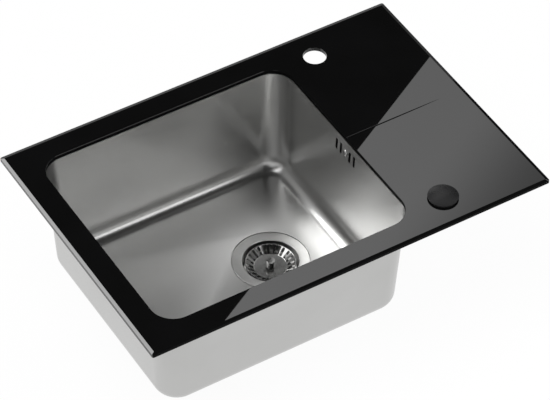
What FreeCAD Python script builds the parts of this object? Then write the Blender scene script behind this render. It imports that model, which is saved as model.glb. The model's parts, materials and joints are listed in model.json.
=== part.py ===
import FreeCAD
import Part
import math
import os

# Inset kitchen sink: a black glass deck bonded over a drawn steel bowl, with a basket waste
# that a push button on the deck opens through a cable, and an overflow.
# Millimetres. +X runs towards the drainer, +Y towards the tap hole at the back, +Z up.
# The origin is the centre of the deck on the worktop surface.

# Glass deck
DECK_LENGTH = 650.0
DECK_WIDTH = 440.0
DECK_CORNER_RADIUS = 3.0
GLASS_THICKNESS = 6.0
BEVEL_WIDTH = 5.0
BEVEL_DEPTH = 1.0
BEVEL_CORNER_RADIUS = 0.6
TAP_HOLE_DIAMETER = 35.0
TAP_BOWL_OFFSET = 53.0
TAP_EDGE_OFFSET = 49.0
GROOVE_END_MARGIN = 44.0
GROOVE_DEPTH = 0.7
GROOVE_RADIUS = 1.8

# Worktop seal and clip rails
SEAL_THICKNESS = 2.0
SEAL_WIDTH = 8.0
SEAL_EDGE_INSET = 2.0
RAIL_CUTOUT_GAP = 3.0
RAIL_SHEET = 1.0
RAIL_FLANGE_GAP = 4.1
RAIL_DROP = 11.0
LONG_RAIL_END_GAP = 65.0
SHORT_RAIL_END_GAP = 70.0
RAIL_SLOT_PITCH = 60.0
RAIL_SLOT_LENGTH = 14.0
RAIL_SLOT_HEIGHT = 4.0

# Bowl
OPENING_LEFT_MARGIN = 39.6
OPENING_RIGHT_MARGIN = 203.5
OPENING_SIDE_MARGIN = 39.1
OPENING_RADIUS = 35.5
BOND_THICKNESS = 1.0
BOND_SETBACK = 1.5
BOWL_SHEET = 0.8
BOWL_FLANGE_WIDTH = 12.0
BOWL_DEPTH = 188.0
BOWL_DRAFT_DEG = 2.5
BOWL_FOOT_RADIUS = 23.0
PAD_THICKNESS = 2.0
PAD_END_GAP = 7.0
PAD_SIDE_GAP = 30.0
PAD_WASTE_GAP = 20.0
PAD_CORNER = 8.0

# Waste fitting
WASTE_WALL_OFFSET = 125.5
WASTE_Y = 0.0
WASTE_HOLE_GAP = 2.0
WASTE_RECESS_GAP = 0.8
CUP_FLANGE_RADIUS = 57.5
CUP_FLANGE_THICKNESS = 1.2
CUP_THROAT_RADIUS = 41.5
CUP_LIP = 1.0
CUP_WALL = 1.5
CUP_DEPTH = 22.0
NECK_BORE_RADIUS = 24.0
NECK_WALL = 3.0
NECK_LENGTH = 16.5
NECK_END_GAP = 1.0
TOP_GASKET_THICKNESS = 1.0
BOTTOM_GASKET_THICKNESS = 2.5
GASKET_SETBACK = 2.5
FRICTION_RING_THICKNESS = 1.0
LOCKNUT_HEIGHT = 8.0
LOCKNUT_WALL = 9.0
LOCKNUT_LUGS = 6
LOCKNUT_LUG_SIZE = 9.0
THREAD_GAP = 0.2

# Strainer
BASKET_SHEET = 1.0
BASKET_FLOOR_DROP = 12.3
BASKET_RIM_DROP = 3.5
BASKET_FLOOR_RADIUS = 24.4
BASKET_SIDE_GAP = 3.9
BASKET_RIM_WIDTH = 1.2
BASKET_SLOTS = 22
BASKET_SLOT_WIDTH = 4.3
BASKET_SLOT_SETBACK = 0.6
KNOB_RADIUS = 6.5
KNOB_WAIST_RADIUS = 6.2
KNOB_HEIGHT = 12.8
KNOB_EDGE = 1.2
KNOB_ROOF = 3.0
SPINDLE_RADIUS = 3.0
STEM_RADIUS = 7.0
STEM_PLATE_RADIUS = 20.0
STEM_PLATE_THICKNESS = 1.5
STRAINER_SEAL_OVERLAP = 8.5
STRAINER_SEAL_THICKNESS = 3.0
STRAINER_NUT_RADIUS = 9.0
STRAINER_NUT_HEIGHT = 3.5
SEAT_GAP = 0.3
SLIP_GAP = 0.05

# Outlet body and lifting gear
OUTLET_WASHER_THICKNESS = 2.0
CHAMBER_RADIUS = 38.0
CHAMBER_WALL = 3.0
CHAMBER_HEIGHT = 25.0
CHAMBER_FLOOR_FALL = 3.0
SPIGOT_RADIUS = 23.9
SPIGOT_WALL = 3.4
SPIGOT_LENGTH = 26.0
PIN_RADIUS = 4.0
GUIDE_HEIGHT = 10.0
GUIDE_RIM = 3.0
GUIDE_BOSS_WALL = 4.0
GUIDE_SPOKES = 3
GUIDE_SPOKE_START_DEG = 60.0
GUIDE_SPOKE_WIDTH = 4.0
GUIDE_NECK_SETBACK = 2.0
LEVER_ARM = 24.0
CRANK_ARM = 8.0
LEVER_THICKNESS = 4.0
LEVER_WIDTH = 8.0
LEVER_OVERHANG = 5.0
LEVER_HUB_RADIUS = 5.5
LEVER_HUB_LENGTH = 10.0
LEVER_HEADROOM = 10.0
LEVER_GAP = 0.4
SHAFT_RADIUS = 3.0
SHAFT_END = 8.0
SHAFT_BOSS_RADIUS = 8.0
SHAFT_BOSS_REACH = 40.0
SHAFT_SEAL_WALL = 2.0
SHAFT_SEAL_LENGTH = 2.6
CRANK_HUB_RADIUS = 5.4
CRANK_WIDTH = 6.0
CRANK_SIDE_GAP = 1.0
CRANK_OVERHANG = 6.0
ROD_HEAD_RADIUS = 2.0
ROD_HEAD_LENGTH = 3.0
WIRE_RADIUS = 0.9
BRACKET_THICKNESS = 12.0
BRACKET_HEIGHT = 12.0
BRACKET_GAP = 2.0
GLAND_BARREL_RADIUS = 3.6
GLAND_FLANGE_RADIUS = 6.0
GLAND_FLANGE_THICKNESS = 4.0
GLAND_STOP = 6.0
ROD_INSERTION = 14.0

# Cable
SHEATH_RADIUS = 2.5
SHEATH_BORE_RADIUS = 1.1
SHEATH_SOCKET_GAP = 0.1
CABLE_DROP = 26.0
CABLE_UPRIGHT = 80.0
CABLE_BENDS = (40.0, 60.0, 48.0)

# Overflow
OVERFLOW_Y = 0.0
OVERFLOW_BELOW_DECK = 29.5
OVERFLOW_SLOT_OFFSETS = (-23.0, -11.7, 11.7, 23.0)
OVERFLOW_SLOT_WIDTH = 4.5
OVERFLOW_SLOT_HEIGHT = 20.0
OVERFLOW_WINDOW_LENGTH = 60.0
OVERFLOW_WINDOW_HEIGHT = 24.0
OVERFLOW_RIM = 6.0
OVERFLOW_CORNER = 8.0
OVERFLOW_GASKET_THICKNESS = 2.0
OVERFLOW_HOUSING_SPARE = 2.0
OVERFLOW_HOUSING_BACK = 2.5
OVERFLOW_SCREW_RADIUS = 2.5
OVERFLOW_SCREW_HEAD_RADIUS = 5.0
OVERFLOW_SCREW_HEAD_HEIGHT = 2.2
OVERFLOW_SCREW_SLOT = 1.2
OVERFLOW_SCREW_LENGTH = 18.0
OVERFLOW_BOSS_RADIUS = 5.0
PIPE_RADIUS = 10.0
PIPE_WALL = 2.0
PIPE_WALL_GAP = 20.0
PIPE_BEND = 40.0
SOCKET_GAP = 0.2
SOCKET_WALL = 1.8
SOCKET_DEPTH = 14.0
SOCKET_STEP = 12.0
PIPE_NUT_RADIUS = 16.5
PIPE_NUT_LENGTH = 13.0
PIPE_NUT_LIP = 3.0
PIPE_NUT_CHAMFER = 2.0
PIPE_SEAL_THICKNESS = 2.5

# Push button
BUTTON_BOWL_OFFSET = 53.5
BUTTON_EDGE_OFFSET = 49.0
BUTTON_HOLE_RADIUS = 17.5
BUTTON_TRAVEL = 2.0
CAP_RADIUS = 22.5
CAP_GLASS_GAP = 1.0
CAP_ROOF = 0.7
CAP_DOME = 1.3
CAP_SKIRT = 1.2
CAP_ROUNDING = 0.9
CAP_STOP_GAP = 0.3
BEZEL_GAP = 0.8
BEZEL_THICKNESS = 0.9
BUTTON_GASKET_THICKNESS = 0.5
BARREL_HOLE_GAP = 1.0
BARREL_WALL = 4.0
BARREL_DROP = 26.0
GUIDE_FLOOR_DROP = 7.7
BUTTON_STEM_RADIUS = 6.0
PLUNGER_RADIUS = 10.0
PLUNGER_THICKNESS = 3.0
BUTTON_WASHER_THICKNESS = 1.0
BUTTON_NUT_RADIUS = 24.0
BUTTON_NUT_HEIGHT = 10.0
BASE_THICKNESS = 5.0
BASE_BOSS_RADIUS = 6.0
BASE_BOSS_LENGTH = 7.0
WIRE_STUB = 5.0
SPRING_COIL_RADIUS = 8.0
SPRING_WIRE_RADIUS = 0.6
SPRING_TURNS = 5
SPRING_END_GAP = 0.2

# Heights and places worked out from the sizes above
GLASS_BOTTOM = SEAL_THICKNESS
DECK_TOP = GLASS_BOTTOM + GLASS_THICKNESS
FLANGE_TOP = GLASS_BOTTOM - BOND_THICKNESS
FLOOR = DECK_TOP - BOWL_DEPTH
FLOOR_UNDERSIDE = FLOOR - BOWL_SHEET
DRAFT = math.tan(math.radians(BOWL_DRAFT_DEG))
CUTOUT_INSET = SEAL_EDGE_INSET + SEAL_WIDTH
RAIL_REACH_X = DECK_LENGTH / 2 - CUTOUT_INSET - RAIL_CUTOUT_GAP
RAIL_REACH_Y = DECK_WIDTH / 2 - CUTOUT_INSET - RAIL_CUTOUT_GAP
RAIL_WIDTH = OPENING_SIDE_MARGIN - BOWL_FLANGE_WIDTH - CUTOUT_INSET - RAIL_CUTOUT_GAP - RAIL_FLANGE_GAP
LONG_RAIL_LENGTH = DECK_LENGTH - 2 * LONG_RAIL_END_GAP
SHORT_RAIL_LENGTH = DECK_WIDTH - 2 * SHORT_RAIL_END_GAP
DECK = (-DECK_LENGTH / 2, DECK_LENGTH / 2, -DECK_WIDTH / 2, DECK_WIDTH / 2)
OPENING_LEFT = -DECK_LENGTH / 2 + OPENING_LEFT_MARGIN
OPENING_RIGHT = DECK_LENGTH / 2 - OPENING_RIGHT_MARGIN
OPENING_FRONT = -DECK_WIDTH / 2 + OPENING_SIDE_MARGIN
OPENING = (OPENING_LEFT, OPENING_RIGHT, OPENING_FRONT, -OPENING_FRONT)
FLOOR_INSET = (FLANGE_TOP - FLOOR) * DRAFT + BOWL_FOOT_RADIUS
TAP_HOLE = (OPENING_RIGHT + TAP_BOWL_OFFSET, DECK_WIDTH / 2 - TAP_EDGE_OFFSET)
GROOVE_END_X = DECK_LENGTH / 2 - GROOVE_END_MARGIN

WASTE_X = OPENING_RIGHT - WASTE_WALL_OFFSET
WASTE = (WASTE_X, WASTE_Y)
RECESS_DEPTH = CUP_FLANGE_THICKNESS + TOP_GASKET_THICKNESS
RECESS_RADIUS = CUP_FLANGE_RADIUS + WASTE_RECESS_GAP
RECESS_UNDERSIDE = FLOOR - RECESS_DEPTH - BOWL_SHEET
CUP_OUTER_RADIUS = CUP_THROAT_RADIUS + CUP_WALL
WASTE_HOLE_RADIUS = CUP_OUTER_RADIUS + WASTE_HOLE_GAP
GASKET_RADIUS = CUP_FLANGE_RADIUS - GASKET_SETBACK
CUP_FLOOR = FLOOR - CUP_DEPTH
CUP_UNDERSIDE = CUP_FLOOR - CUP_WALL
NECK_RADIUS = NECK_BORE_RADIUS + NECK_WALL
NECK_BOTTOM = CUP_UNDERSIDE - NECK_LENGTH
FRICTION_RING_TOP = RECESS_UNDERSIDE - BOTTOM_GASKET_THICKNESS
LOCKNUT_TOP = FRICTION_RING_TOP - FRICTION_RING_THICKNESS

BASKET_FLOOR = FLOOR - BASKET_FLOOR_DROP
BASKET_UNDERSIDE = BASKET_FLOOR - BASKET_SHEET
BASKET_RIM_RADIUS = CUP_THROAT_RADIUS - BASKET_SIDE_GAP
BASKET_CONE_RADIUS = BASKET_RIM_RADIUS - BASKET_RIM_WIDTH
STRAINER_SEAL_RADIUS = NECK_BORE_RADIUS + STRAINER_SEAL_OVERLAP
SEAL_SEAT = CUP_FLOOR + SEAT_GAP
SEAL_TOP = SEAL_SEAT + STRAINER_SEAL_THICKNESS
STEM_BOTTOM = SEAL_SEAT - STRAINER_NUT_HEIGHT
PIN_TOP = STEM_BOTTOM - SEAT_GAP

CHAMBER_TOP = CUP_UNDERSIDE - OUTLET_WASHER_THICKNESS
CHAMBER_ROOF = NECK_BOTTOM - NECK_END_GAP
CHAMBER_FLOOR = CHAMBER_ROOF - CHAMBER_HEIGHT
CHAMBER_BORE = CHAMBER_RADIUS - CHAMBER_WALL
SPIGOT_TOP = CHAMBER_FLOOR - CHAMBER_FLOOR_FALL - CHAMBER_WALL
SPIGOT_BOTTOM = SPIGOT_TOP - SPIGOT_LENGTH
HALF_SWING = math.asin(BUTTON_TRAVEL / 2 / CRANK_ARM)
SHAFT_X = WASTE_X + LEVER_ARM
SHAFT_Z = NECK_BOTTOM - LEVER_HEADROOM
PIN_BOTTOM = (SHAFT_Z - (LEVER_ARM - PIN_RADIUS) * math.sin(HALF_SWING)
              + LEVER_THICKNESS / 2 / math.cos(HALF_SWING) + LEVER_GAP)
BOSS_END_Y = WASTE_Y - SHAFT_BOSS_REACH
CRANK_Y = BOSS_END_Y - CRANK_SIDE_GAP - CRANK_WIDTH / 2
ROD_Z = SHAFT_Z - CRANK_ARM
ROD_TIP_X = (SHAFT_X + (CRANK_ARM + ROD_HEAD_RADIUS) * math.sin(HALF_SWING)
             + LEVER_THICKNESS / 2 / math.cos(HALF_SWING) + LEVER_GAP)
ROD_HEAD_END_X = ROD_TIP_X + ROD_HEAD_LENGTH
BRACKET_X = ROD_HEAD_END_X + BRACKET_GAP
GLAND_END_X = BRACKET_X + BRACKET_THICKNESS + GLAND_FLANGE_THICKNESS
SHEATH_END_X = BRACKET_X + GLAND_STOP

OVERFLOW_Z = DECK_TOP - OVERFLOW_BELOW_DECK
OVERFLOW_WALL_X = OPENING_RIGHT + BOWL_SHEET - (FLANGE_TOP - OVERFLOW_Z) * DRAFT
PIPE_X = OVERFLOW_WALL_X + PIPE_WALL_GAP
SOCKET_BORE = PIPE_RADIUS + SOCKET_GAP
SOCKET_RADIUS = SOCKET_BORE + SOCKET_WALL
OVERFLOW_HOUSING_DEPTH = PIPE_WALL_GAP + SOCKET_RADIUS + OVERFLOW_HOUSING_SPARE
OVERFLOW_HALF_LENGTH = OVERFLOW_WINDOW_LENGTH / 2 + OVERFLOW_RIM
OVERFLOW_HALF_HEIGHT = OVERFLOW_WINDOW_HEIGHT / 2 + OVERFLOW_RIM
ELBOW_BOTTOM = OVERFLOW_Z - OVERFLOW_HALF_HEIGHT - SOCKET_STEP - SOCKET_DEPTH
PIPE_TOP = ELBOW_BOTTOM + SOCKET_DEPTH
INLET_Z = CHAMBER_FLOOR + CHAMBER_HEIGHT / 2
INLET_END_X = WASTE_X + CHAMBER_RADIUS + SOCKET_STEP + SOCKET_DEPTH
PIPE_END_X = INLET_END_X - SOCKET_DEPTH

BUTTON_X = OPENING_RIGHT + BUTTON_BOWL_OFFSET
BUTTON_Y = -DECK_WIDTH / 2 + BUTTON_EDGE_OFFSET
BUTTON = (BUTTON_X, BUTTON_Y)
BEZEL_BOTTOM = DECK_TOP + BUTTON_GASKET_THICKNESS
BEZEL_TOP = BEZEL_BOTTOM + BEZEL_THICKNESS
BEZEL_RADIUS = CAP_RADIUS - CAP_SKIRT - BEZEL_GAP
BARREL_RADIUS = BUTTON_HOLE_RADIUS - BARREL_HOLE_GAP
CAP_BOTTOM = DECK_TOP + BUTTON_TRAVEL + CAP_GLASS_GAP
CAP_INSIDE = BEZEL_TOP + BUTTON_TRAVEL + CAP_STOP_GAP
CAP_EDGE = CAP_INSIDE + CAP_ROOF
GUIDE_FLOOR = GLASS_BOTTOM - GUIDE_FLOOR_DROP
PLUNGER_TOP = GUIDE_FLOOR - SEAT_GAP
PLUNGER_BOTTOM = PLUNGER_TOP - PLUNGER_THICKNESS
BARREL_BOTTOM = GLASS_BOTTOM - BARREL_DROP
BASE_BOTTOM = BARREL_BOTTOM - BASE_THICKNESS
BOSS_BOTTOM = BASE_BOTTOM - BASE_BOSS_LENGTH
BUTTON_NUT_TOP = GLASS_BOTTOM - BUTTON_WASHER_THICKNESS

V = FreeCAD.Vector
X_AXIS = V(1, 0, 0)
Y_AXIS = V(0, 1, 0)
Z_AXIS = V(0, 0, 1)
CUT_OVER = 5.0


def box(x0, x1, y0, y1, z0, z1):
    """Block between the given faces."""
    return Part.makeBox(x1 - x0, y1 - y0, z1 - z0, V(x0, y0, z0))


def cylinder(radius, z0, z1, centre):
    """Upright cylinder about centre."""
    return Part.makeCylinder(radius, z1 - z0, V(centre[0], centre[1], z0), Z_AXIS)


def ring(inner, outer, z0, z1, centre):
    """Upright ring about centre."""
    return cylinder(outer, z0, z1, centre).cut(cylinder(inner, z0, z1, centre))


def bar_x(radius, x0, x1, y, z):
    """Round bar along X."""
    return Part.makeCylinder(radius, x1 - x0, V(x0, y, z), X_AXIS)


def bar_y(radius, y0, y1, x, z):
    """Round bar along Y."""
    return Part.makeCylinder(radius, y1 - y0, V(x, y0, z), Y_AXIS)


def hex_nut(radius, hole, z0, z1, centre):
    """Six-sided nut about centre, radius to its corners."""
    turns = [math.radians(60 * index) for index in range(7)]
    corners = [V(centre[0] + radius * math.cos(a), centre[1] + radius * math.sin(a), z0) for a in turns]
    nut = Part.Face(Part.makePolygon(corners)).extrude(V(0, 0, z1 - z0))
    return nut.cut(cylinder(hole, z0, z1, centre))


def turned(profile, centre):
    """Solid of revolution of a closed (radius, height) profile about the upright line at centre."""
    points = [V(centre[0] + r, centre[1], z) for r, z in profile]
    face = Part.Face(Part.makePolygon(points + points[:1]))
    return face.revolve(V(centre[0], centre[1], 0), Z_AXIS, 360)


def grown(sides, distance):
    """Rectangle (x0, x1, y0, y1) with every side moved outwards."""
    x0, x1, y0, y1 = sides
    return (x0 - distance, x1 + distance, y0 - distance, y1 + distance)


def rounded_wire(sides, radius, z):
    """Closed outline of a rectangle with round corners: four lines and four quarter arcs."""
    x0, x1, y0, y1 = sides
    edges = []
    corners = ((x1, y0, -1, 1), (x1, y1, -1, -1), (x0, y1, 1, -1), (x0, y0, 1, 1))
    bulge = radius * (1 - math.sqrt(0.5))
    last = V(x0 + radius, y0, z)
    for index, (cx, cy, sx, sy) in enumerate(corners):
        along_x = V(cx + sx * radius, cy, z)
        along_y = V(cx, cy + sy * radius, z)
        start, end = (along_x, along_y) if index % 2 == 0 else (along_y, along_x)
        edges.append(Part.LineSegment(last, start).toShape())
        edges.append(Part.Arc(start, V(cx + sx * bulge, cy + sy * bulge, z), end).toShape())
        last = end
    return Part.Wire(edges)


def rounded_prism(sides, radius, z0, z1):
    """Upright prism over a rounded rectangle."""
    return Part.Face(rounded_wire(sides, radius, z0)).extrude(V(0, 0, z1 - z0))


def frame_prism(outer, outer_radius, inner, inner_radius, z0, z1):
    """Rounded rectangular frame with a rounded window."""
    window = rounded_prism(inner, inner_radius, z0 - CUT_OVER, z1 + CUT_OVER)
    return rounded_prism(outer, outer_radius, z0, z1).cut(window)


def united(shapes):
    """One solid from overlapping shapes."""
    return shapes[0].fuse(shapes[1:]).removeSplitter()


def bent_path(points, radii):
    """Wire of straight runs through points, joined at each inner point by a tangent arc."""
    edges = []
    last = points[0]
    for before, corner, after, radius in zip(points, points[1:], points[2:], radii):
        back = (before - corner).normalize()
        on = (after - corner).normalize()
        half = back.getAngle(on) / 2
        reach = radius / math.tan(half)
        middle_direction = (back + on).normalize()
        start = corner + back * reach
        end = corner + on * reach
        middle = corner + middle_direction * (radius / math.sin(half) - radius)
        edges.append(Part.LineSegment(last, start).toShape())
        edges.append(Part.Arc(start, middle, end).toShape())
        last = end
    edges.append(Part.LineSegment(last, points[-1]).toShape())
    return Part.Wire(edges)


def swept_rod(path, radius):
    """Round rod along a path, checked against section times length."""
    start = path.Edges[0]
    direction = start.tangentAt(start.FirstParameter)
    circle = Part.Wire(Part.makeCircle(radius, start.valueAt(start.FirstParameter), direction))
    rod = path.makePipeShell([circle], True, False)
    ratio = rod.Volume / (math.pi * radius ** 2 * path.Length)
    print("rod radius", radius, "length", round(path.Length, 1), "volume ratio", round(ratio, 4))
    return rod


def glass_deck():
    """Bevelled glass plate with the bowl opening, two round holes and the drainer groove."""
    bevel_start = DECK_TOP - BEVEL_DEPTH
    plate = rounded_prism(DECK, DECK_CORNER_RADIUS, GLASS_BOTTOM, bevel_start)
    rim = rounded_wire(DECK, DECK_CORNER_RADIUS, bevel_start)
    flat = rounded_wire(grown(DECK, -BEVEL_WIDTH), BEVEL_CORNER_RADIUS, DECK_TOP)
    deck = united([plate, Part.makeLoft([rim, flat], True, True)])
    low, high = GLASS_BOTTOM - CUT_OVER, DECK_TOP + CUT_OVER
    deck = deck.cut(rounded_prism(OPENING, OPENING_RADIUS, low, high))
    deck = deck.cut(cylinder(TAP_HOLE_DIAMETER / 2, low, high, TAP_HOLE))
    deck = deck.cut(cylinder(BUTTON_HOLE_RADIUS, low, high, BUTTON))
    start = V(OPENING_RIGHT, 0, DECK_TOP + GROOVE_RADIUS - GROOVE_DEPTH)
    fall = V(GROOVE_END_X, 0, DECK_TOP + GROOVE_RADIUS) - start
    start = start - fall * (CUT_OVER / fall.Length)
    return deck.cut(Part.makeCylinder(GROOVE_RADIUS, fall.Length + CUT_OVER, start, fall))


def deck_bond():
    """Adhesive bed between the glass and the bowl's flange."""
    outer = grown(OPENING, BOWL_FLANGE_WIDTH)
    inner = grown(OPENING, BOND_SETBACK)
    return frame_prism(outer, OPENING_RADIUS + BOWL_FLANGE_WIDTH, inner, OPENING_RADIUS + BOND_SETBACK,
                       FLANGE_TOP, GLASS_BOTTOM)


def worktop_seal():
    """Foam strip under the deck's edge, which lies on the worktop."""
    outer = grown(DECK, -SEAL_EDGE_INSET)
    inner = grown(outer, -SEAL_WIDTH)
    return frame_prism(outer, DECK_CORNER_RADIUS, inner, DECK_CORNER_RADIUS, 0, SEAL_THICKNESS)


def clip_rail(length):
    """Steel angle along X under the glass, its slotted leg facing -Y at y = 0."""
    half = length / 2
    top = box(-half, half, 0, RAIL_WIDTH, GLASS_BOTTOM - RAIL_SHEET, GLASS_BOTTOM)
    leg = box(-half, half, 0, RAIL_SHEET, GLASS_BOTTOM - RAIL_DROP, GLASS_BOTTOM)
    rail = united([top, leg])
    middle = GLASS_BOTTOM - RAIL_DROP / 2
    count = int((length - 2 * RAIL_SLOT_LENGTH) // RAIL_SLOT_PITCH) + 1
    slots = []
    for index in range(count):
        x = (index - (count - 1) / 2) * RAIL_SLOT_PITCH
        slots.append(box(x - RAIL_SLOT_LENGTH / 2, x + RAIL_SLOT_LENGTH / 2, -CUT_OVER, RAIL_SHEET + CUT_OVER,
                         middle - RAIL_SLOT_HEIGHT / 2, middle + RAIL_SLOT_HEIGHT / 2))
    return rail.cut(Part.makeCompound(slots))


def placed_rail(length, turn_deg, reach):
    """Clip rail turned about the deck's centre, its leg at distance reach."""
    rail = clip_rail(length)
    rail.translate(V(0, -reach, 0))
    rail.rotate(V(0, 0, 0), Z_AXIS, turn_deg)
    return rail


def bowl_form(wall):
    """Drawn form of the bowl grown by wall: drafted sides with a rounded foot, closed at the flange."""
    fall = (FLANGE_TOP - FLOOR + wall) * DRAFT
    top = rounded_wire(grown(OPENING, wall), OPENING_RADIUS + wall, FLANGE_TOP)
    foot = rounded_wire(grown(OPENING, wall - fall), OPENING_RADIUS + wall, FLOOR - wall)
    form = Part.makeLoft([top, foot], True, True)
    foot_edges = [e for e in form.Edges if abs(e.BoundBox.ZMax - (FLOOR - wall)) < 0.01]
    return form.makeFillet(BOWL_FOOT_RADIUS + wall, foot_edges)


def on_wall(shape):
    """Place a shape, made with +X as the way out, on the outside of the right wall at the overflow."""
    shape.rotate(V(0, 0, 0), Y_AXIS, BOWL_DRAFT_DEG)
    shape.translate(V(OVERFLOW_WALL_X, OVERFLOW_Y, OVERFLOW_Z))
    return shape


def bowl():
    """Drawn steel bowl with its flange, waste recess and overflow slots."""
    flange = rounded_prism(grown(OPENING, BOWL_FLANGE_WIDTH), OPENING_RADIUS + BOWL_FLANGE_WIDTH,
                           FLANGE_TOP - BOWL_SHEET, FLANGE_TOP)
    recess = cylinder(RECESS_RADIUS + BOWL_SHEET, RECESS_UNDERSIDE, FLOOR, WASTE)
    shell = united([bowl_form(BOWL_SHEET), flange, recess]).cut(bowl_form(0.0))
    shell = shell.cut(cylinder(RECESS_RADIUS, FLOOR - RECESS_DEPTH, FLOOR + CUT_OVER, WASTE))
    shell = shell.cut(cylinder(WASTE_HOLE_RADIUS, RECESS_UNDERSIDE - CUT_OVER, FLOOR, WASTE))
    half_height = OVERFLOW_SLOT_HEIGHT / 2
    for offset in OVERFLOW_SLOT_OFFSETS:
        slot = box(-CUT_OVER, CUT_OVER, offset - OVERFLOW_SLOT_WIDTH / 2, offset + OVERFLOW_SLOT_WIDTH / 2,
                   -half_height, half_height)
        shell = shell.cut(on_wall(slot))
    return shell.cut(on_wall(bar_x(OVERFLOW_SCREW_RADIUS + SOCKET_GAP, -CUT_OVER, CUT_OVER, 0, 0)))


def sound_pad():
    """Damping pad stuck under the bowl's floor, beside the waste."""
    left = OPENING_LEFT + FLOOR_INSET + PAD_END_GAP
    right = WASTE_X - RECESS_RADIUS - PAD_WASTE_GAP
    front = OPENING_FRONT + FLOOR_INSET + PAD_SIDE_GAP
    return rounded_prism((left, right, front, -front), PAD_CORNER,
                         FLOOR_UNDERSIDE - PAD_THICKNESS, FLOOR_UNDERSIDE)


def waste_cup():
    """Steel flange and cup of the waste, with the threaded neck below."""
    flange_bottom = FLOOR - CUP_FLANGE_THICKNESS
    profile = ((CUP_FLANGE_RADIUS, flange_bottom), (CUP_FLANGE_RADIUS, FLOOR),
               (CUP_THROAT_RADIUS + CUP_LIP, FLOOR), (CUP_THROAT_RADIUS, FLOOR - CUP_LIP),
               (CUP_THROAT_RADIUS, CUP_FLOOR), (NECK_BORE_RADIUS, CUP_FLOOR), (NECK_BORE_RADIUS, NECK_BOTTOM),
               (NECK_RADIUS, NECK_BOTTOM), (NECK_RADIUS, CUP_UNDERSIDE), (CUP_OUTER_RADIUS, CUP_UNDERSIDE),
               (CUP_OUTER_RADIUS, flange_bottom))
    return turned(profile, WASTE)


def waste_gasket(z0, z1):
    """Flat ring that fits the waste between the bowl's hole and the cup's flange."""
    return ring(WASTE_HOLE_RADIUS, GASKET_RADIUS, z0, z1, WASTE)


def waste_locknut():
    """Ring nut with lugs that clamps the waste to the bowl."""
    inner = CUP_OUTER_RADIUS + THREAD_GAP
    outer = inner + LOCKNUT_WALL
    bottom = LOCKNUT_TOP - LOCKNUT_HEIGHT
    pieces = [cylinder(outer, bottom, LOCKNUT_TOP, WASTE)]
    for index in range(LOCKNUT_LUGS):
        half = LOCKNUT_LUG_SIZE / 2
        lug = box(inner + LOCKNUT_WALL / 2, outer + half, -half, half, bottom, LOCKNUT_TOP)
        lug.rotate(V(0, 0, 0), Z_AXIS, index * 360 / LOCKNUT_LUGS)
        lug.translate(V(WASTE_X, WASTE_Y, 0))
        pieces.append(lug)
    return united(pieces).cut(cylinder(inner, bottom, LOCKNUT_TOP, WASTE))


def strainer_basket():
    """Shallow pressed basket: flat floor, slotted cone and a narrow rim."""
    rim = FLOOR - BASKET_RIM_DROP
    hole = SPINDLE_RADIUS + SLIP_GAP
    profile = ((hole, BASKET_UNDERSIDE), (hole, BASKET_FLOOR), (BASKET_FLOOR_RADIUS, BASKET_FLOOR),
               (BASKET_CONE_RADIUS, rim), (BASKET_RIM_RADIUS, rim), (BASKET_RIM_RADIUS, rim - BASKET_SHEET),
               (BASKET_CONE_RADIUS + BASKET_SHEET / 2, rim - BASKET_SHEET),
               (BASKET_FLOOR_RADIUS + BASKET_SHEET / 2, BASKET_UNDERSIDE))
    slots = []
    for index in range(BASKET_SLOTS):
        slot = box(BASKET_FLOOR_RADIUS + BASKET_SLOT_SETBACK, BASKET_CONE_RADIUS - BASKET_SLOT_SETBACK,
                   -BASKET_SLOT_WIDTH / 2, BASKET_SLOT_WIDTH / 2, BASKET_UNDERSIDE - CUT_OVER, FLOOR)
        slot.rotate(V(0, 0, 0), Z_AXIS, (index + 0.5) * 360 / BASKET_SLOTS)
        slot.translate(V(WASTE_X, WASTE_Y, 0))
        slots.append(slot)
    return turned(profile, WASTE).cut(Part.makeCompound(slots))


def strainer_knob():
    """Finger knob on the basket, slightly waisted, with a blind hole for the spindle."""
    top = BASKET_FLOOR + KNOB_HEIGHT
    hole = SPINDLE_RADIUS + SLIP_GAP
    profile = ((hole, BASKET_FLOOR), (KNOB_WAIST_RADIUS, BASKET_FLOOR), (KNOB_RADIUS, top - 2 * KNOB_EDGE),
               (KNOB_RADIUS, top - KNOB_EDGE), (KNOB_RADIUS - KNOB_EDGE, top), (0, top), (0, top - KNOB_ROOF),
               (hole, top - KNOB_ROOF))
    return turned(profile, WASTE)


def strainer_stem():
    """Stem under the basket: spindle, shoulder and the plate that holds the seal."""
    plate_top = SEAL_TOP + STEM_PLATE_THICKNESS
    spindle_top = BASKET_FLOOR + KNOB_HEIGHT - KNOB_ROOF - SEAT_GAP
    profile = ((0, STEM_BOTTOM), (PIN_RADIUS, STEM_BOTTOM), (PIN_RADIUS, SEAL_TOP),
               (STEM_PLATE_RADIUS, SEAL_TOP), (STEM_PLATE_RADIUS, plate_top), (STEM_RADIUS, plate_top),
               (STEM_RADIUS, BASKET_UNDERSIDE), (SPINDLE_RADIUS, BASKET_UNDERSIDE),
               (SPINDLE_RADIUS, spindle_top), (0, spindle_top))
    return turned(profile, WASTE)


def strainer_nut():
    """Six-sided nut under the strainer's seal."""
    return hex_nut(STRAINER_NUT_RADIUS, PIN_RADIUS + SLIP_GAP, STEM_BOTTOM, SEAL_SEAT, WASTE)


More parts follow.
